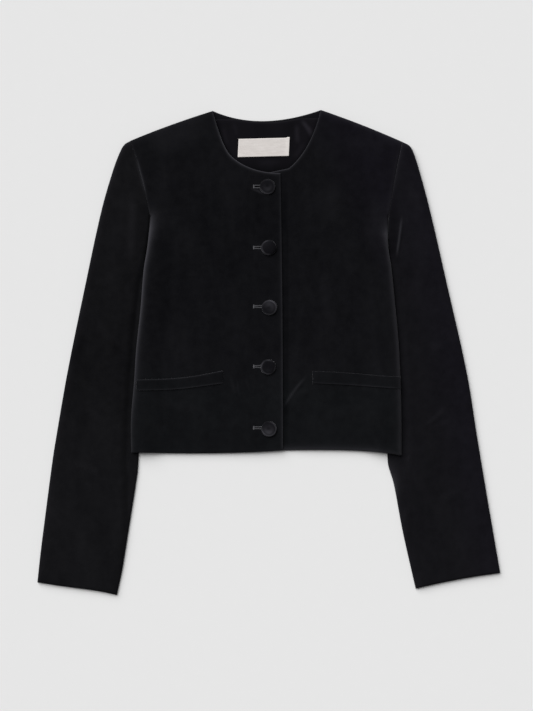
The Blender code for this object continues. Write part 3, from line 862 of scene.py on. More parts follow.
def backTopLine(us):
    low, high = backNeckShares
    first = shoulderLine(rightHalf, np.minimum(us / low, 1.0))
    middle = backNeck(np.clip((us - low) / (high - low), 0.0, 1.0))
    last = shoulderLine(leftHalf, 1 - np.maximum((us - high) / (1 - high), 0.0))
    line = np.where((us <= low)[:, None], first, middle)
    return np.where((us >= high)[:, None], last, line)


def backHem(us):
    line = straightLine(rightHalf["hem"], leftHalf["hem"], us)
    line[:, 1] += back["hemShort"] * np.sqrt(np.clip(np.sin(np.pi * us), 0.0, 1.0))
    return line


def makeBack():
    low, high = backNeckShares
    outer = stations(*grid["backShoulder"], True, False)
    middle = stations(*grid["backNeck"], False, False)
    columns = np.concatenate((outer * low, mix(low, high, middle[1:]), mix(high, 1.0, 1 - outer[::-1])[1:]))
    firstNeck, lastNeck = len(outer) - 1, len(outer) + len(middle) - 2
    lines = (backTopLine, backHem, lambda v: bodyEdge(rightHalf, v), lambda v: bodyEdge(leftHalf, v))
    plan = panelPlan(columns, bodyRows("backSide"), *lines)
    rise, _ = creased(plan, back["creases"])
    under = backUnder(plan[..., 0], plan[..., 1]) + rise
    edges = (
        (plan[: armRow + 1, 0], "armholeUnder", noGlow),
        (plan[: armRow + 1, -1], "armholeUnder", noGlow),
        (plan[armRow:, 0], "bodyFoldUnder", noGlow),
        (plan[armRow:, -1], "bodyFoldUnder", noGlow),
        (plan[0, : firstNeck + 1], "bodyFoldUnder", noGlow),
        (plan[0, lastNeck:], "bodyFoldUnder", noGlow),
        (plan[0, firstNeck : lastNeck + 1], "backEdge", back["neckGlow"]),
        (plan[-1], "backEdge", noGlow),
    )
    light = toneDown(plan, back["tone"])
    return clothPiece("velvet_back", plan, under + cloth["wall"], under, light, edges, velvets["body"])


velvetBack = makeBack()
print("back made")


# Sleeve rows: station, x and y of the outer fold, x and y of the inner fold, puff, width under the body
sleeveRight = {
    "half": rightHalf,
    "cuffArch": (1.2, 1.0),  # height and lean to the inner fold
    "rows": (
        (0.0, -192.9, 296.8, -165.8, 190.3, 4.2, 0.0),
        (0.02, -202.3, 290.9, -166.2, 179.7, 4.0, 0.0),
        (0.045, -209.3, 278.3, -167.2, 166.5, 3.8, 0.0),
        (0.08, -218.6, 253.1, -169.0, 148.1, 3.6, 0.0),
        (0.15, -233.9, 199.9, -174.0, 111.1, 3.4, 1.0),
        (0.3, -256.4, 96.3, -176.8, 31.9, 3.3, 7.0),
        (0.5, -281.6, -27.0, -179.7, -74.0, 3.2, 11.5),
        (0.66, -298.1, -122.0, -182.8, -158.5, 3.0, 10.5),
        (0.72, -303.2, -155.0, -186.9, -189.6, 2.9, 4.0),
        (0.85, -313.4, -232.8, -197.9, -259.1, 2.6, 0.0),
        (0.93, -319.3, -279.5, -204.6, -301.3, 2.2, 0.0),
        (1.0, -323.8, -321.3, -212.6, -339.1, 1.8, 0.0),
    ),
    "tone": (
        (-340.0, 0.052),
        (-150.0, 0.052),
        (-70.0, 0.032),
        (0.0, 0.022),
        (60.0, 0.034),
        (200.0, 0.046),
        (300.0, 0.040),
    ),
    "creases": (
        # painted shade on the sleeve along the body's side
        (-162.0, 420.0, -206.0, -420.0, 0.0, 20.0, 0.0, -0.016),
        (-192.0, 232.0, -194.0, 122.0, 3.0, 10.0, 0.8, 0.050),
        (-208.0, 200.0, -216.0, 60.0, -5.0, 16.0, 0.6, 0.014),
        (-252.0, 40.0, -206.0, 6.0, 5.0, 10.0, 0.5, 0.014),
        (-262.0, -60.0, -212.0, -112.0, -4.0, 12.0, 0.6, 0.014),
        (-284.0, -150.0, -228.0, -176.0, 3.0, 9.0, 0.5, 0.016),
        (-270.0, -220.0, -262.0, -300.0, 3.0, 14.0, 0.4, 0.012),
    ),
    "hiddenCreases": (
        (-200.0, 180.0, -220.0, 40.0, 6.0, 12.0, 0.7, 0.0),
        (-260.0, 10.0, -208.0, -40.0, -5.0, 10.0, 0.5, 0.0),
        (-276.0, -120.0, -226.0, -190.0, 4.0, 12.0, 0.6, 0.0),
    ),
    # painted sheen along the outer fold, the inner fold and the head seam
    "outerGlow": (
        (0.0, 0.26, 1.4),
        (0.12, 0.10, 3.0),
        (0.5, 0.06, 3.5),
        (0.85, 0.08, 3.5),
        (1.0, 0.04, 3.0),
    ),
    "innerGlow": ((0.0, 0.0, 1.0), (0.7, 0.0, 1.0), (1.0, 0.02, 2.0)),
    "headGlow": (
        (0.0, 0.04, 1.3),
        (0.24, 0.10, 1.3),
        (0.32, 0.36, 1.3),
        (0.6, 0.40, 1.3),
        (0.72, 0.08, 1.6),
        (1.0, 0.0, 2.0),
    ),
}
sleeveLeft = {
    "half": leftHalf,
    "cuffArch": (1.8, 0.0),
    "rows": (
        (0.0, 186.6, 295.2, 167.7, 190.3, 4.2, 0.0),
        (0.02, 197.1, 289.5, 166.8, 180.0, 4.0, 0.0),
        (0.045, 203.2, 278.3, 166.5, 167.0, 3.8, 0.0),
        (0.08, 211.2, 253.1, 166.6, 148.9, 3.6, 0.0),
        (0.15, 225.4, 199.9, 169.8, 112.5, 3.4, 4.0),
        (0.3, 249.2, 96.3, 171.0, 34.7, 3.3, 10.0),
        (0.5, 276.9, -27.0, 167.0, -69.0, 3.2, 18.5),
        (0.66, 291.4, -117.0, 166.4, -152.0, 3.0, 20.0),
        (0.72, 297.2, -152.0, 174.8, -183.0, 2.9, 8.0),
        (0.85, 308.7, -220.2, 187.5, -250.5, 2.6, 0.0),
        (1.0, 323.9, -308.2, 205.5, -330.1, 1.8, 0.0),
    ),
    "tone": (
        (-330.0, 0.056),
        (-200.0, 0.046),
        (-100.0, 0.040),
        (0.0, 0.040),
        (120.0, 0.044),
        (220.0, 0.054),
        (300.0, 0.052),
    ),
    "creases": (
        # painted shade on the sleeve along the body's side, stronger near the underarm
        (160.6, 420.0, 197.0, -420.0, 0.0, 17.0, 0.0, -0.016),
        (162.0, 350.0, 175.0, 50.0, 0.0, 18.0, 0.0, -0.044),
        (186.6, 194.0, 178.2, 130.0, 0.4, 3.0, 1.6, 0.260),
        (190.0, 240.0, 204.0, 206.0, 2.0, 13.0, 0.5, 0.030),
        (206.0, 232.0, 214.0, 190.0, -2.0, 12.0, 0.4, 0.024),
        (214.0, 180.0, 206.0, 60.0, 4.0, 14.0, 0.6, 0.012),
        (198.0, -140.0, 184.0, -164.0, 1.0, 3.6, 1.0, 0.090),
        (250.0, -72.0, 214.0, -104.0, 3.0, 6.0, 0.7, 0.040),
        (262.0, -96.0, 222.0, -112.0, -3.0, 8.0, 0.5, 0.014),
        (266.0, 30.0, 214.0, 0.0, 4.0, 12.0, 0.5, 0.010),
        (280.0, -190.0, 236.0, -214.0, -4.0, 11.0, 0.5, 0.010),
        (262.0, -240.0, 276.0, -300.0, 3.0, 14.0, 0.4, 0.008),
    ),
    "hiddenCreases": (
        (206.0, 190.0, 214.0, 50.0, -6.0, 12.0, 0.7, 0.0),
        (252.0, 0.0, 200.0, -52.0, 5.0, 10.0, 0.5, 0.0),
        (270.0, -130.0, 214.0, -186.0, -4.0, 12.0, 0.6, 0.0),
    ),
    # painted sheen along the outer fold, the inner fold and the head seam
    "outerGlow": ((0.0, 0.24, 1.4), (0.12, 0.10, 2.0), (0.6, 0.05, 2.5), (1.0, 0.04, 2.5)),
    "innerGlow": (
        (0.0, 0.0, 1.0),
        (0.645, 0.0, 6.0),
        (0.66, 0.16, 6.0),
        (0.685, 0.26, 7.0),
        (0.705, 0.46, 4.4),
        (0.73, 0.42, 3.6),
        (0.755, 0.12, 3.0),
        (1.0, 0.03, 2.0),
    ),
    "headGlow": ((0.0, 0.12, 2.0), (0.6, 0.12, 2.4), (1.0, 0.0, 2.0)),
}


def sleeveFolds(sleeve, vs):
    outer = np.column_stack([readTable(sleeve["rows"], vs, column) for column in (1, 2)])
    inner = np.column_stack([readTable(sleeve["rows"], vs, column) for column in (3, 4)])
    return outer, inner


def sleevePlan(sleeve, us, vs):
    half = sleeve["half"]
    outer, inner = sleeveFolds(sleeve, vs)
    plan = mix(outer[:, None], inner[:, None], us[None, :, None])
    bow = armhole(half, us) - straightLine(half["tip"], half["underarm"], us)
    height, lean = sleeve["cuffArch"]
    arch = height * 4 * us * (1 - us) * mix(1.0, cloth["archLean"] * us**2, lean)
    arch = np.column_stack((0 * us, arch))
    byHead = ease(1 - vs / cloth["headShare"])[:, None, None]
    byCuff = ease((vs - cloth["cuffFrom"]) / (1 - cloth["cuffFrom"]))[:, None, None]
    return plan + byHead * bow + byCuff * arch


def sleeveTop(sleeve, us, vs, plan):
    rows = sleeve["rows"]
    outer, inner = sleeveFolds(sleeve, vs)
    width = np.linalg.norm(outer - inner, axis=1)[:, None]
    tucked = readTable(rows, vs, 6)[:, None]
    free = (1 - us)[None] * width - tucked - cloth["tuckMargin"] * ease(tucked / cloth["tuckRun"])
    closing = roundFold(us[None] * width, cloth["foldReach"]) * softFold(free, cloth["foldReach"])
    rise, light = creased(plan, sleeve["creases"])
    own = 2 * cloth["wall"] + cloth["layGap"] + readTable(rows, vs, 5)[:, None] * closing + rise * closing
    seam = frontTop(sleeve["half"], *armhole(sleeve["half"], us).T)[None]
    length = math.dist(rows[0][1:3], rows[-1][1:3])
    return mix(seam, own, ease(vs * length / cloth["headReach"])[:, None]), light * closing


def makeSleeve(side, sleeve):
    finish = velvets[f"{side}Sleeve"]
    vs = stations(*grid["upperSleeve"])
    plan = sleevePlan(sleeve, armStations, vs)
    top, light = sleeveTop(sleeve, armStations, vs, plan)
    cuffGap, _ = nearLine(plan, plan[-1])
    top = mix(2 * cloth["wall"] + cloth["cuffLift"], top, roundFold(cuffGap, cloth["hangReach"]))
    light = light + toneDown(plan, sleeve["tone"])
    edges = (
        (plan[0], "armhole", sleeve["headGlow"]),
        (plan[:, 0], "sleeveFold", sleeve["outerGlow"]),
        (plan[:, -1], "sleeveFold", sleeve["innerGlow"]),
        (plan[-1], "cuff", noGlow),
    )
    upper = clothPiece(f"velvet_sleeve_{side}_upper", plan, top, top - cloth["wall"], light, edges, finish)

    plan = sleevePlan(sleeve, armStations, stations(*grid["underSleeve"]))
    rise, _ = creased(plan, sleeve["hiddenCreases"])
    light = toneDown(plan, sleeve["tone"])
    edges = (
        (plan[0], "armholeUnder", noGlow),
        (plan[:, 0], "sleeveFoldUnder", noGlow),
        (plan[:, -1], "sleeveFoldUnder", noGlow),
        (plan[-1], "cuffUnder", noGlow),
    )
    top = rise + cloth["wall"]
    lower = clothPiece(f"velvet_sleeve_{side}_under", plan, top, rise, light, edges, finish)
    return upper, lower


rightUpper, rightUnder = makeSleeve("right", sleeveRight)
leftUpper, leftUnder = makeSleeve("left", sleeveLeft)
print("sleeves made")


# Welts of the pockets: x, top and bottom of the strip along it
welts = {
    "right": (
        (-185.0, -37.8, -52.9),
        (-133.0, -35.7, -51.5),
        (-100.0, -31.8, -47.8),
        (-63.9, -24.8, -42.8),
    ),
    "left": (
        (61.2, -25.5, -42.8),
        (106.8, -27.7, -44.8),
        (150.6, -31.5, -48.0),
        (184.0, -33.6, -50.3),
    ),
    "wall": 1.4,
    "gap": 0.2,
    "step": 1.6,
    "endShare": 0.45,  # its ends are sewn down flat
    "endRun": 6.0,
    "tone": 0.030,
    # painted sheen along the welts' top and foot edges, and along the left one's end
    "topGlow": {"right": 0.30, "left": 0.04},
    "footGlow": {"right": 0.60, "left": 0.50},
    "glowStart": 0.6,  # share of the glow where the strip starts
    "glowWidth": 0.7,
    "endGlow": {"right": noGlow, "left": evenGlow(0.40, 2.4)},  # the left one ends on the side fold
}


def weltGlow(peak):
    width = welts["glowWidth"]
    return ((0.0, welts["glowStart"] * peak, width), (0.5, peak, width))


def makeWelt(side, half):
    rows = welts[side]
    length = abs(rows[-1][0] - rows[0][0])
    across = stations(length, welts["step"])
    x = mix(rows[0][0], rows[-1][0], across)
    down = stations(*grid["weltDepth"])
    y = mix(readTable(rows, x, 1)[None], readTable(rows, x, 2)[None], down[:, None])
    plan = np.dstack((np.broadcast_to(x, y.shape), y))
    surface, _ = frontSurface(half, plan)
    under = surface + welts["gap"]
    endGap = np.minimum(across, 1 - across) * length
    top = under + welts["wall"] * mix(welts["endShare"], 1.0, ease(endGap / welts["endRun"]))[None]
    edges = (
        (plan[0], "weltTop", weltGlow(welts["topGlow"][side])),
        (plan[-1], "weltSewn", weltGlow(welts["footGlow"][side])),
        (plan[:, 0], "weltSewn", noGlow),
        (plan[:, -1], "weltSewn", welts["endGlow"][side]),
    )
    return clothPiece(f"velvet_welt_{side}", plan, top, under, welts["tone"], edges, velvets["welt"])


weltRight = makeWelt("right", rightHalf)
weltLeft = makeWelt("left", leftHalf)
print("welts made")


facing = {
    "halfWidth": 92.0,
    "leftShort": 5.0,
    "bottomY": 226.0,
    "bottomRise": 62.0,
    "edgeIn": 2.2,
    "shoulderIn": 12.0,
    "shoulderSlope": 0.4,
    "wall": 1.2,
    "tone": 0.085,
    "shadeReach": 3.2,  # painted shade: darker run beside the fronts' necklines
    # painted sheen along the facing's neck edge and on its folds
    "neckGlow": ((0.0, 0.1, 2.0), (0.5, 0.16, 1.4), (1.0, 0.1, 2.0)),
    "creases": (
        (44.0, 327.0, 63.0, 298.0, 1.5, 5.0, 0.7, 0.34),
        (40.0, 322.0, 41.5, 290.0, -1.0, 5.5, 0.5, 0.18),
        (56.0, 318.0, 66.0, 304.0, -1.0, 4.0, 0.4, 0.12),
        (52.0, 296.0, 34.0, 270.0, 2.0, 7.0, 0.5, 0.08),
        (-62.0, 318.0, -56.0, 286.0, -2.0, 6.0, 0.5, 0.08),
        (-50.0, 322.0, -44.0, 300.0, 1.5, 5.0, 0.4, 0.06),
        (-20.0, 262.0, 22.0, 264.0, 2.0, 7.0, 0.4, 0.05),
    ),
}


def makeFacing():
    us = stations(*grid["facingWidth"])
    vs = stations(*grid["facingDepth"])
    x = mix(-facing["halfWidth"], facing["halfWidth"] - facing["leftShort"], us)
    neckSpan = leftHalf["neck"][0] - rightHalf["neck"][0]
    t = np.clip((x - rightHalf["neck"][0]) / neckSpan, 0.0, 1.0)
    neckY = backNeck(t)[:, 1] - facing["edgeIn"]
    halfNeck = np.where(x > 0, leftHalf["neck"][0], -rightHalf["neck"][0])
    halfNeckY = np.where(x > 0, leftHalf["neck"][1], rightHalf["neck"][1])
    fall = facing["shoulderSlope"] * np.maximum(0.0, np.abs(x) - halfNeck)
    upper = np.minimum(neckY, halfNeckY - facing["shoulderIn"] - fall)
    lower = facing["bottomY"] + facing["bottomRise"] * (2 * us - 1) ** 2
    y = mix(upper[None], lower[None], vs[:, None])
    plan = np.dstack((np.broadcast_to(x, y.shape), y))
    rise, light = creased(plan, facing["creases"])
    light = light + facing["tone"]
    # painted shade beside the fronts' necklines
    for half, front in ((rightHalf, frontRight), (leftHalf, frontLeft)):
        gap, _ = nearLine(plan, frontTopLine(half, front, np.linspace(cloth["neckShare"], 1.0, 40)))
        light = light * (1 - np.exp(-gap / facing["shadeReach"]))
    under = cloth["wall"] + cloth["layGap"] + rise
    edges = (
        (plan[0], "facingNeck", facing["neckGlow"]),
        (plan[-1], "facing", noGlow),
        (plan[:, 0], "facing", noGlow),
        (plan[:, -1], "facing", noGlow),
    )
    return clothPiece("back_neck_satin", plan, under + facing["wall"], under, light, edges, facingSatin)


neckFacing = makeFacing()

label = {
    "size": (71.6, 25.6),
    "step": 1.4,
    "centre": (-7.0, 287.0),
    "tilt": math.radians(1.4),
    "lean": 0.07,
    "base": 3.85,
    "wall": 0.8,
    "waves": ((0.18, 5.1, 0.6), (0.1, 11.0, 0.0)),  # height, turn over the width, and turn at the middle
    "foldWidth": 4.6,  # the strip folded under at the right end
    "foldRise": 0.25,
    "foldStep": 0.9,  # how far that strip stands over the upper edge
    "foldRun": 0.8,
    # painted highlight along the tape's edges and on its folded strip
    "edgeGlow": evenGlow(0.8, 0.9),
    "foldGlow": evenGlow(0.9, 2.0),
    "stitchIn": (1.6, 5.0),
    "stitchEnd": 1.5,
    "stitchSizes": (2.2, 0.35, 0.3),
    "stitchPoints": 8,
    "seed": 3,
}


def labelFold(across):  # 0 on the label, 1 on its folded strip
    return ease((across - label["size"][0] / 2 + label["foldWidth"]) / label["foldRun"])


def labelPlace(across, up):
    up = up + label["foldStep"] * labelFold(across) * (up / label["size"][1] + 0.5)
    across = across + label["lean"] * up
    sine, cosine = math.sin(label["tilt"]), math.cos(label["tilt"])
    turned = np.stack((across * cosine - up * sine, across * sine + up * cosine), axis=-1)
    return turned + np.array(label["centre"])


def labelHeight(across):
    share = across / label["size"][0]
    wave = sum(height * np.sin(share * turn + start) for height, turn, start in label["waves"])
    return label["base"] + label["foldRise"] * labelFold(across) + wave


def makeLabel():
    width, height = label["size"]
    columns = (stations(width, label["step"]) - 0.5) * width
    rows = (0.5 - stations(height, label["step"])) * height
    across, up = np.meshgrid(columns, rows)
    plan = labelPlace(across, up)
    under = labelHeight(across)
    edges = (
        (plan[0], "label", label["edgeGlow"]),
        (plan[-1], "label", label["edgeGlow"]),
        (plan[:, 0], "label", label["edgeGlow"]),
        (plan[:, -1], "label", label["foldGlow"]),
    )
    return clothPiece("neck_label_tape", plan, under + label["wall"], under, 0.0, edges, labelTape)


neckLabel = makeLabel()
print("facing and label made")


# Covered buttons. Lips are half the opening of the buttonhole at its bar and at the button. A tilt is its
# way and size, both in degrees. Rim rows are the way in degrees, spread and painted sheen over the rim;
# crown rows are way, spread, painted highlight and share of the radius
buttons = {
    "radius": 10.8,
    "dome": 5.0,
    "domePower": 0.8,
    "rimHeight": 0.14,  # share of the dome
    "tuckShare": 0.88,  # share of the radius that the cloth turns under to
    "plateShare": 0.6,
    "plateRise": 0.1,
    "clearance": 0.2,
    "tiltRoom": 0.2,
    "shank": 1.7,
    "shankEnd": 0.4,
    "gatherDepth": 0.05,
    "gatherFrom": 0.75,
    "gatherTurns": (13, 19, 2),
    "gatherShift": 2.3,
    # painted highlight at the top of each dome
    "crownLight": 0.05,
    "rimShare": 0.89,
    "rimWidth": 0.075,
    "crownWidth": 0.34,
    "segments": 84,
    "rows": (
        {
            "at": (-1.7, 231.6),
            "holeY": 232.0,
            "lips": (1.7, 1.8),
            "tilt": (20.0, 1.5),
            "rim": ((0.0, 50.0, 0.42), (-90.0, 46.0, 1.05), (-135.0, 26.0, 0.32), (95.0, 30.0, 0.16)),
            "crown": ((-75.0, 100.0, 0.28, 0.38),),
        },
        {
            "at": (0.0, 146.6),
            "holeY": 146.8,
            "lips": (1.2, 1.9),
            "tilt": (115.0, 1.2),
            "rim": ((118.0, 30.0, 0.50), (180.0, 30.0, 0.30), (-142.0, 22.0, 0.66), (-97.0, 22.0, 0.60)),
            "crown": ((140.0, 60.0, 0.05, 0.6),),
        },
        {
            "at": (0.9, 63.0),
            "holeY": 64.5,
            "lips": (0.9, 1.7),
            "tilt": (200.0, 2.0),
            "rim": ((62.0, 34.0, 0.95), (-5.0, 45.0, 0.95), (-88.0, 46.0, 0.66), (120.0, 40.0, 0.30)),
            "crown": ((5.0, 80.0, 0.20, 0.5), (100.0, 60.0, 0.22, 0.5), (0.0, 200.0, 0.08, 0.2)),
        },
        {
            "at": (-0.8, -20.0),
            "holeY": -19.3,
            "lips": (0.9, 1.9),
            "tilt": (300.0, 1.6),
            "rim": (
                (165.0, 36.0, 0.60),
                (-122.0, 34.0, 0.66),
                (-85.0, 26.0, 0.55),
                (-20.0, 26.0, 0.44),
                (85.0, 22.0, 0.44),
            ),
            "crown": ((-90.0, 70.0, 0.08, 0.5),),
        },
        {
            "at": (0.4, -106.4),
            "holeY": -104.8,
            "lips": (1.2, 1.3),
            "tilt": (80.0, 2.2),
            "rim": (
                (8.0, 36.0, 0.75),
                (-48.0, 34.0, 0.95),
                (-92.0, 40.0, 0.95),
                (-145.0, 30.0, 0.66),
                (55.0, 30.0, 0.36),
            ),
            "crown": ((-95.0, 75.0, 0.54, 0.5), (0.0, 200.0, 0.12, 0.3)),
        },
    ),
}


def heightAt(half, x, y):
    surface, _ = frontSurface(half, np.array([[(x, y)]]))
    return float(surface[0, 0])


def buttonProfile(stem):  # radius and height from the crown, over the rim, to the foot of the shank
    radius, dome, rim = buttons["radius"], buttons["dome"], buttons["rimHeight"]
    turn = np.linspace(0.0, np.pi / 2, 15)
    domeHeight = dome * (rim + (1 - rim) * np.cos(turn) ** buttons["domePower"])
    crown = np.column_stack((radius * np.sin(turn), domeHeight))
    tuck = np.linspace(0.0, np.pi / 2, 6)[1:]
    tuckRadius = radius * mix(buttons["tuckShare"], 1.0, np.cos(tuck))
    under = np.column_stack((tuckRadius, dome * rim * (1 - np.sin(tuck))))
    plate = (buttons["plateShare"] * radius, buttons["plateRise"])
    shank = buttons["shank"]
    foot = np.array((plate, (shank, 0.0), (shank, -stem), (buttons["shankEnd"], -stem)))
    return np.vstack((crown, under, foot))


def makeButton(number, row):
    x, y = row["at"]
    base = heightAt(rightHalf, x, y) + buttons["clearance"]
    stem = base - heightAt(leftHalf, x, y) - cloth["layGap"]
    profile = buttonProfile(stem)[1:]
    segments = buttons["segments"]
    angle = np.arange(segments) * 2 * np.pi / segments
    points = [(0.0, 0.0, buttons["dome"])]
    shine = [buttons["crownLight"]]
    coarse, fine, swell = buttons["gatherTurns"]
    gathers = np.sin(fine * angle + buttons["gatherShift"] * number) * np.sin(swell * angle + number)
    gathers = np.sin(coarse * angle + number) + gathers
    bands = [(*spot, buttons["rimShare"], buttons["rimWidth"]) for spot in row["rim"]]
    bands += [(*spot, buttons["crownWidth"]) for spot in row["crown"]]
    for radius, height in profile:
        share = min(1.0, radius / buttons["radius"])
        gathered = ease((share - buttons["gatherFrom"]) / (1 - buttons["gatherFrom"]))
        ring = radius + buttons["gatherDepth"] * gathered * gathers
        light = np.zeros(segments)
        for way, spread, peak, middle, width in bands:
            off = (angle - math.radians(way) + np.pi) % (2 * np.pi) - np.pi
            band = np.exp(-(((share - middle) / width) ** 2))
            light += peak * band * np.exp(-((off / math.radians(spread)) ** 2))
        points += list(zip(ring * np.cos(angle), ring * np.sin(angle), np.full(segments, height)))
        shine += list(light * (height > 0))
    faces = [(0, 1 + k, 1 + (k + 1) % segments) for k in range(segments)]
    for step in range(len(profile) - 1):
        for k in range(segments):
            a, b = 1 + step * segments + k, 1 + step * segments + (k + 1) % segments
            faces.append((a, a + segments, b + segments, b))
    foot = 1 + (len(profile) - 1) * segments
    faces.append(tuple(foot + k for k in reversed(range(segments))))
    way, lean = (math.radians(value) for value in row["tilt"])
    tilt = Matrix.Rotation(lean, 3, Vector((-math.sin(way), math.cos(way), 0.0)))
    placed = np.array(points) @ np.array(tilt).T + np.array((x, y, base + buttons["tiltRoom"]))
    return meshPiece(f"velvet_button_{number}", placed, faces, shine, velvets["button"])


buttonPieces = [makeButton(number, row) for number, row in enumerate(buttons["rows"], start=1)]
print("buttons made")


# Buttonholes: a straight slit through the upper front up to each button, with silk stitches round it
buttonhole = {
    "endX": -21.6,
    "slitWidth": 1.0,
    "cutDepth": 6.0,
    "sharpAngle": 50.0,
    "lipSizes": (0.42, 1.9, 0.5),  # spacing, length and thickness of the stitches
    "lipStart": 1.0,
    "lipShort": 2.0,  # the stitches end this far before the middle of the button
    "lipLift": 0.12,
    "lipPoints": 12,
    "barSizes": (0.42, 1.5, 0.5),
    "barHeight": 4.6,
    "barGap": 0.7,
    "barIn": 0.3,
    "barLift": 0.3,
    "barPoints": 6,
    "seed": 7,
}


def cutButtonholes():
    cut = bmesh.new()
    for row in buttons["rows"]:
        x, y = row["at"]
        z = heightAt(rightHalf, x, y) - cloth["wall"] / 2
        length = x - buttonhole["endX"]
        slit = Matrix.Translation(Vector(((x + buttonhole["endX"]) / 2, row["holeY"], z)) * mm)
        size = Vector((length, buttonhole["slitWidth"], buttonhole["cutDepth"])) * mm
        bmesh.ops.create_cube(cut, size=1.0, matrix=slit @ Matrix.Diagonal((*size, 1.0)))
    mesh = bpy.data.meshes.new("buttonholeCut")
    cut.to_mesh(mesh)
    cut.free()
    cutter = addObject("buttonholeCut", mesh)
    holes = velvetFrontRight.modifiers.new("Buttonholes", "BOOLEAN")
    holes.operation = "DIFFERENCE"
    holes.solver = "EXACT"
    holes.object = cutter
    evaluated = velvetFrontRight.evaluated_get(bpy.context.evaluated_depsgraph_get())
    cutMesh = bpy.data.meshes.new_from_object(evaluated)
    velvetFrontRight.modifiers.remove(holes)
    plain = velvetFrontRight.data
    velvetFrontRight.data = cutMesh
    bpy.data.meshes.remove(plain)
    bpy.data.objects.remove(cutter)
    cutMesh.name = "velvet_front_right"
    cutMesh.set_sharp_from_angle(angle=math.radians(buttonhole["sharpAngle"]))


cutButtonholes()


stitchBead = {
    "segments": 6,
    "rings": 5,
    "vary": 0.14,  # how much longer or shorter a stitch may be
}


def makeStitchTree():  # small rounded stitches laid across a path
    tree = bpy.data.node_groups.new("stitchesAcross", "GeometryNodeTree")
    sockets = (
        ("Path", "NodeSocketGeometry"),
        ("Spacing", "NodeSocketFloat"),
        ("Length", "NodeSocketFloat"),
        ("Thickness", "NodeSocketFloat"),
        ("Seed", "NodeSocketInt"),
        ("Thread", "NodeSocketMaterial"),
    )
    for socketName, kind in sockets:
        tree.interface.new_socket(socketName, in_out="INPUT", socket_type=kind)
    tree.interface.new_socket("Stitches", in_out="OUTPUT", socket_type="NodeSocketGeometry")
    new, link = tree.nodes.new, tree.links.new
    start, end = new("NodeGroupInput"), new("NodeGroupOutput")
    points = new("GeometryNodeCurveToPoints")
    points.mode = "LENGTH"
    link(start.outputs["Path"], points.inputs["Curve"])
    link(start.outputs["Spacing"], points.inputs["Length"])
    bead = new("GeometryNodeMeshUVSphere")
    bead.inputs["Segments"].default_value = stitchBead["segments"]
    bead.inputs["Rings"].default_value = stitchBead["rings"]
    bead.inputs["Radius"].default_value = 0.5  # one unit across, sized by its scale
    turn = new("FunctionNodeAlignRotationToVector")
    turn.axis = "X"
    turn.pivot_axis = "Z"
    link(points.outputs["Tangent"], turn.inputs["Vector"])
    vary = new("FunctionNodeRandomValue")
    vary.data_type = "FLOAT"
    vary.inputs[2].default_value = 1 - stitchBead["vary"]
    vary.inputs[3].default_value = 1 + stitchBead["vary"]
    link(start.outputs["Seed"], vary.inputs["Seed"])
    longer = new("ShaderNodeMath")
    longer.operation = "MULTIPLY"
    link(start.outputs["Length"], longer.inputs[0])
    link(vary.outputs[1], longer.inputs[1])
    size = new("ShaderNodeCombineXYZ")
    link(start.outputs["Thickness"], size.inputs["X"])
    link(longer.outputs[0], size.inputs["Y"])
    link(start.outputs["Thickness"], size.inputs["Z"])
    lay = new("GeometryNodeInstanceOnPoints")
    link(points.outputs["Points"], lay.inputs["Points"])
    link(bead.outputs["Mesh"], lay.inputs["Instance"])
    link(turn.outputs["Rotation"], lay.inputs["Rotation"])
    link(size.outputs[0], lay.inputs["Scale"])
    real = new("GeometryNodeRealizeInstances")
    link(lay.outputs["Instances"], real.inputs["Geometry"])
    smoothShade = new("GeometryNodeSetShadeSmooth")
    link(real.outputs["Geometry"], smoothShade.inputs["Geometry"])
    finish = new("GeometryNodeSetMaterial")
    link(smoothShade.outputs["Geometry"], finish.inputs["Geometry"])
    link(start.outputs["Thread"], finish.inputs["Material"])
    link(finish.outputs["Geometry"], end.inputs["Stitches"])
    return tree


stitchTree = makeStitchTree()


def stitchesAlong(name, paths, sizes, seed, thread):  # sizes are spacing, length and thickness
    spacing, length, thickness = (size * mm for size in sizes)
    values = {"Spacing": spacing, "Length": length, "Thickness": thickness, "Seed": seed, "Thread": thread}
    curve = bpy.data.curves.new(name + "Path", "CURVE")
    curve.dimensions = "3D"
    for path in paths:
        spline = curve.splines.new("POLY")
        spline.points.add(len(path) - 1)
        for point, (x, y, z) in zip(spline.points, path):
            point.co = (x * mm, y * mm, z * mm, 1.0)
    guide = addObject(name + "Path", curve)
    sewing = guide.modifiers.new("Stitches", "NODES")
    sewing.node_group = stitchTree
    for item in stitchTree.interface.items_tree:
        if item.in_out == "INPUT" and item.name in values:
            sewing[item.identifier] = values[item.name]
    evaluated = guide.evaluated_get(bpy.context.evaluated_depsgraph_get())
    mesh = bpy.data.meshes.new_from_object(evaluated)
    mesh.name = name
    bpy.data.objects.remove(guide)
    bpy.data.curves.remove(curve)
    return addObject(name, mesh)


def onFront(x, y, above):
    return (x, y, heightAt(rightHalf, x, y) + above)


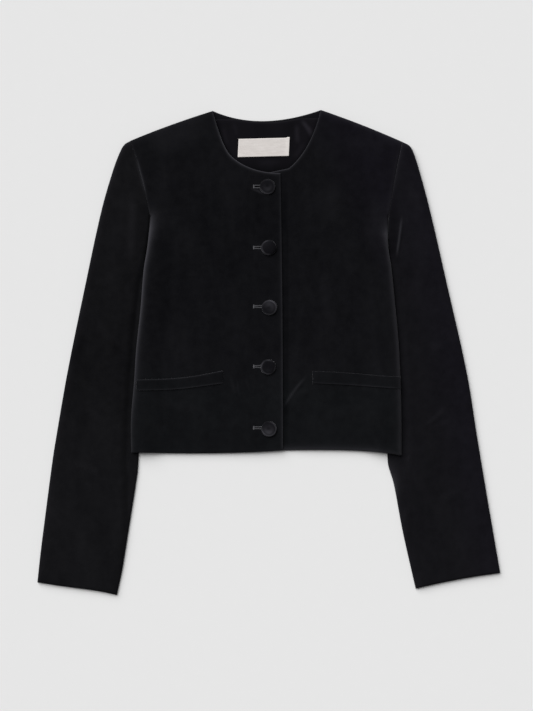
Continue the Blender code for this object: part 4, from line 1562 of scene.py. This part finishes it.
def makeButtonholeStitches():
    lips, bars = [], []
    endX, seed = buttonhole["endX"], buttonhole["seed"]
    count, halfBar = buttonhole["lipPoints"], buttonhole["barHeight"] / 2
    for row in buttons["rows"]:
        y, reach = row["holeY"], row["at"][0] - buttonhole["lipShort"]
        xs = np.linspace(endX + buttonhole["lipStart"], reach, count)
        gaps = np.linspace(*row["lips"], count)
        for way in (-1, 1):
            lips.append([onFront(x, y + way * gap, buttonhole["lipLift"]) for x, gap in zip(xs, gaps)])
        for step in (0.0, buttonhole["barGap"]):
            x = endX + buttonhole["barIn"] + step
            ys = np.linspace(y - halfBar, y + halfBar, buttonhole["barPoints"])
            bars.append([onFront(x, at, buttonhole["barLift"]) for at in ys])
    sewn = stitchesAlong("buttonhole_stitches", lips, buttonhole["lipSizes"], seed, silks["buttonholeSilk"])
    tacks = stitchesAlong("buttonhole_bar_tacks", bars, buttonhole["barSizes"], seed, silks["barTackSilk"])
    return sewn, tacks


holeStitches, barTacks = makeButtonholeStitches()


def makeLabelStitches():
    width, height = label["size"]
    count, end = label["stitchPoints"], height / 2 - label["stitchEnd"]
    paths = []
    for side, inset in zip((-1, 1), label["stitchIn"]):
        across = side * (width / 2 - inset)
        places = labelPlace(np.full(count, across), np.linspace(-end, end, count))
        z = float(labelHeight(np.array(across))) + label["wall"]
        paths.append([(x, y, z) for x, y in places])
    return stitchesAlong("label_stitches", paths, label["stitchSizes"], label["seed"], silks["labelThread"])


labelStitches = makeLabelStitches()
print("stitches made")


# What each piece rides on and stands for
def laySheet(piece, node, extras=()):
    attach(piece, "root")
    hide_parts(node)
    for extra in extras:
        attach(extra, "root")


sewnHoles = (holeStitches, barTacks)
laySheet(velvetBack, "back")
laySheet(velvetFrontRight, "front_right", sewnHoles)
laySheet(velvetFrontLeft, "front_left")

sleeveCuts = (  # side, the two pieces, their length, and the area of each
    ("right", rightUpper, rightUnder, 0.633, 0.0602, 0.0586),
    ("left", leftUpper, leftUnder, 0.622, 0.0599, 0.0584),
)
for side, upper, under, length, upperArea, underArea in sleeveCuts:
    node, below = f"sleeve_{side}_", (f"velvet_sleeve_{side}_under",)
    laySheet(upper, node + "upper")
    laySheet(under, node + "under")

laySheet(weltRight, "welt_right")
laySheet(weltLeft, "welt_left")
laySheet(neckFacing, "back_neck_facing")
onFacing, sewnLabel = ("back_neck_satin",), (labelStitches,)
laySheet(neckLabel, "neck_label", sewnLabel)
for number, piece in enumerate(buttonPieces, start=1):
    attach(piece, "root")
    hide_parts(f"button_{number}")
print("pieces ride on the frame")


# Pale floor, soft light from the upper left, camera straight above
studio = {
    "floorSize": 30.0,  # metres
    "floorDrop": 0.3,
    "floorColour": (0.805, 0.805, 0.805),
    "floorPaper": (0.815, 0.815, 0.815),
    "floorGrain": 60.0,
    "floorRoughness": 0.95,
    "worldStrength": 0.18,
    "sunStrength": 3.72,
    "sunAngle": 62.0,
    "sunFrom": (-0.50, 0.72, 0.80),
    "cameraCentre": (-3.15, -3.85),
    "cameraHeight": 3000.0,
    "viewHeight": 995.4,
    "sensor": 36.0,
}


def makeFloor():
    plane = bmesh.new()
    bmesh.ops.create_grid(plane, x_segments=8, y_segments=8, size=studio["floorSize"] / 2)
    bmesh.ops.translate(plane, verts=plane.verts, vec=(0.0, 0.0, -studio["floorDrop"] * mm))
    mesh = bpy.data.meshes.new("pale_floor")
    plane.to_mesh(mesh)
    plane.free()
    material, tree, shader, place = newMaterial("paleFloor")
    grain = noiseNode(tree, place, studio["floorGrain"], 4.0)
    colour = mixNode(tree, grain, studio["floorColour"], studio["floorPaper"])
    tree.links.new(colour, shader.inputs["Base Color"])
    shader.inputs["Roughness"].default_value = studio["floorRoughness"]
    shader.inputs["Specular IOR Level"].default_value = 0.0
    mesh.materials.append(material)
    addObject("pale_floor", mesh)


def makeLight():
    world = bpy.data.worlds.new("softRoom")
    world.use_nodes = True
    background = world.node_tree.nodes["Background"]
    background.inputs["Color"].default_value = (1.0, 1.0, 1.0, 1.0)
    background.inputs["Strength"].default_value = studio["worldStrength"]
    bpy.context.scene.world = world
    lamp = bpy.data.lights.new("windowLight", "SUN")
    lamp.energy = studio["sunStrength"]
    lamp.angle = math.radians(studio["sunAngle"])
    sun = addObject("windowLight", lamp)
    sun.rotation_euler = Vector(studio["sunFrom"]).to_track_quat("Z", "Y").to_euler()


def makeCamera():
    lens = bpy.data.cameras.new("overheadCamera")
    lens.sensor_width = studio["sensor"]
    lens.lens = lens.sensor_width * studio["cameraHeight"] / studio["viewHeight"]
    camera = addObject("overheadCamera", lens)
    x, y = studio["cameraCentre"]
    camera.location = (x * mm, y * mm, studio["cameraHeight"] * mm)
    bpy.context.scene.camera = camera


makeFloor()
makeLight()
makeCamera()
bpy.context.scene.view_settings.view_transform = "Standard"
print("studio made")
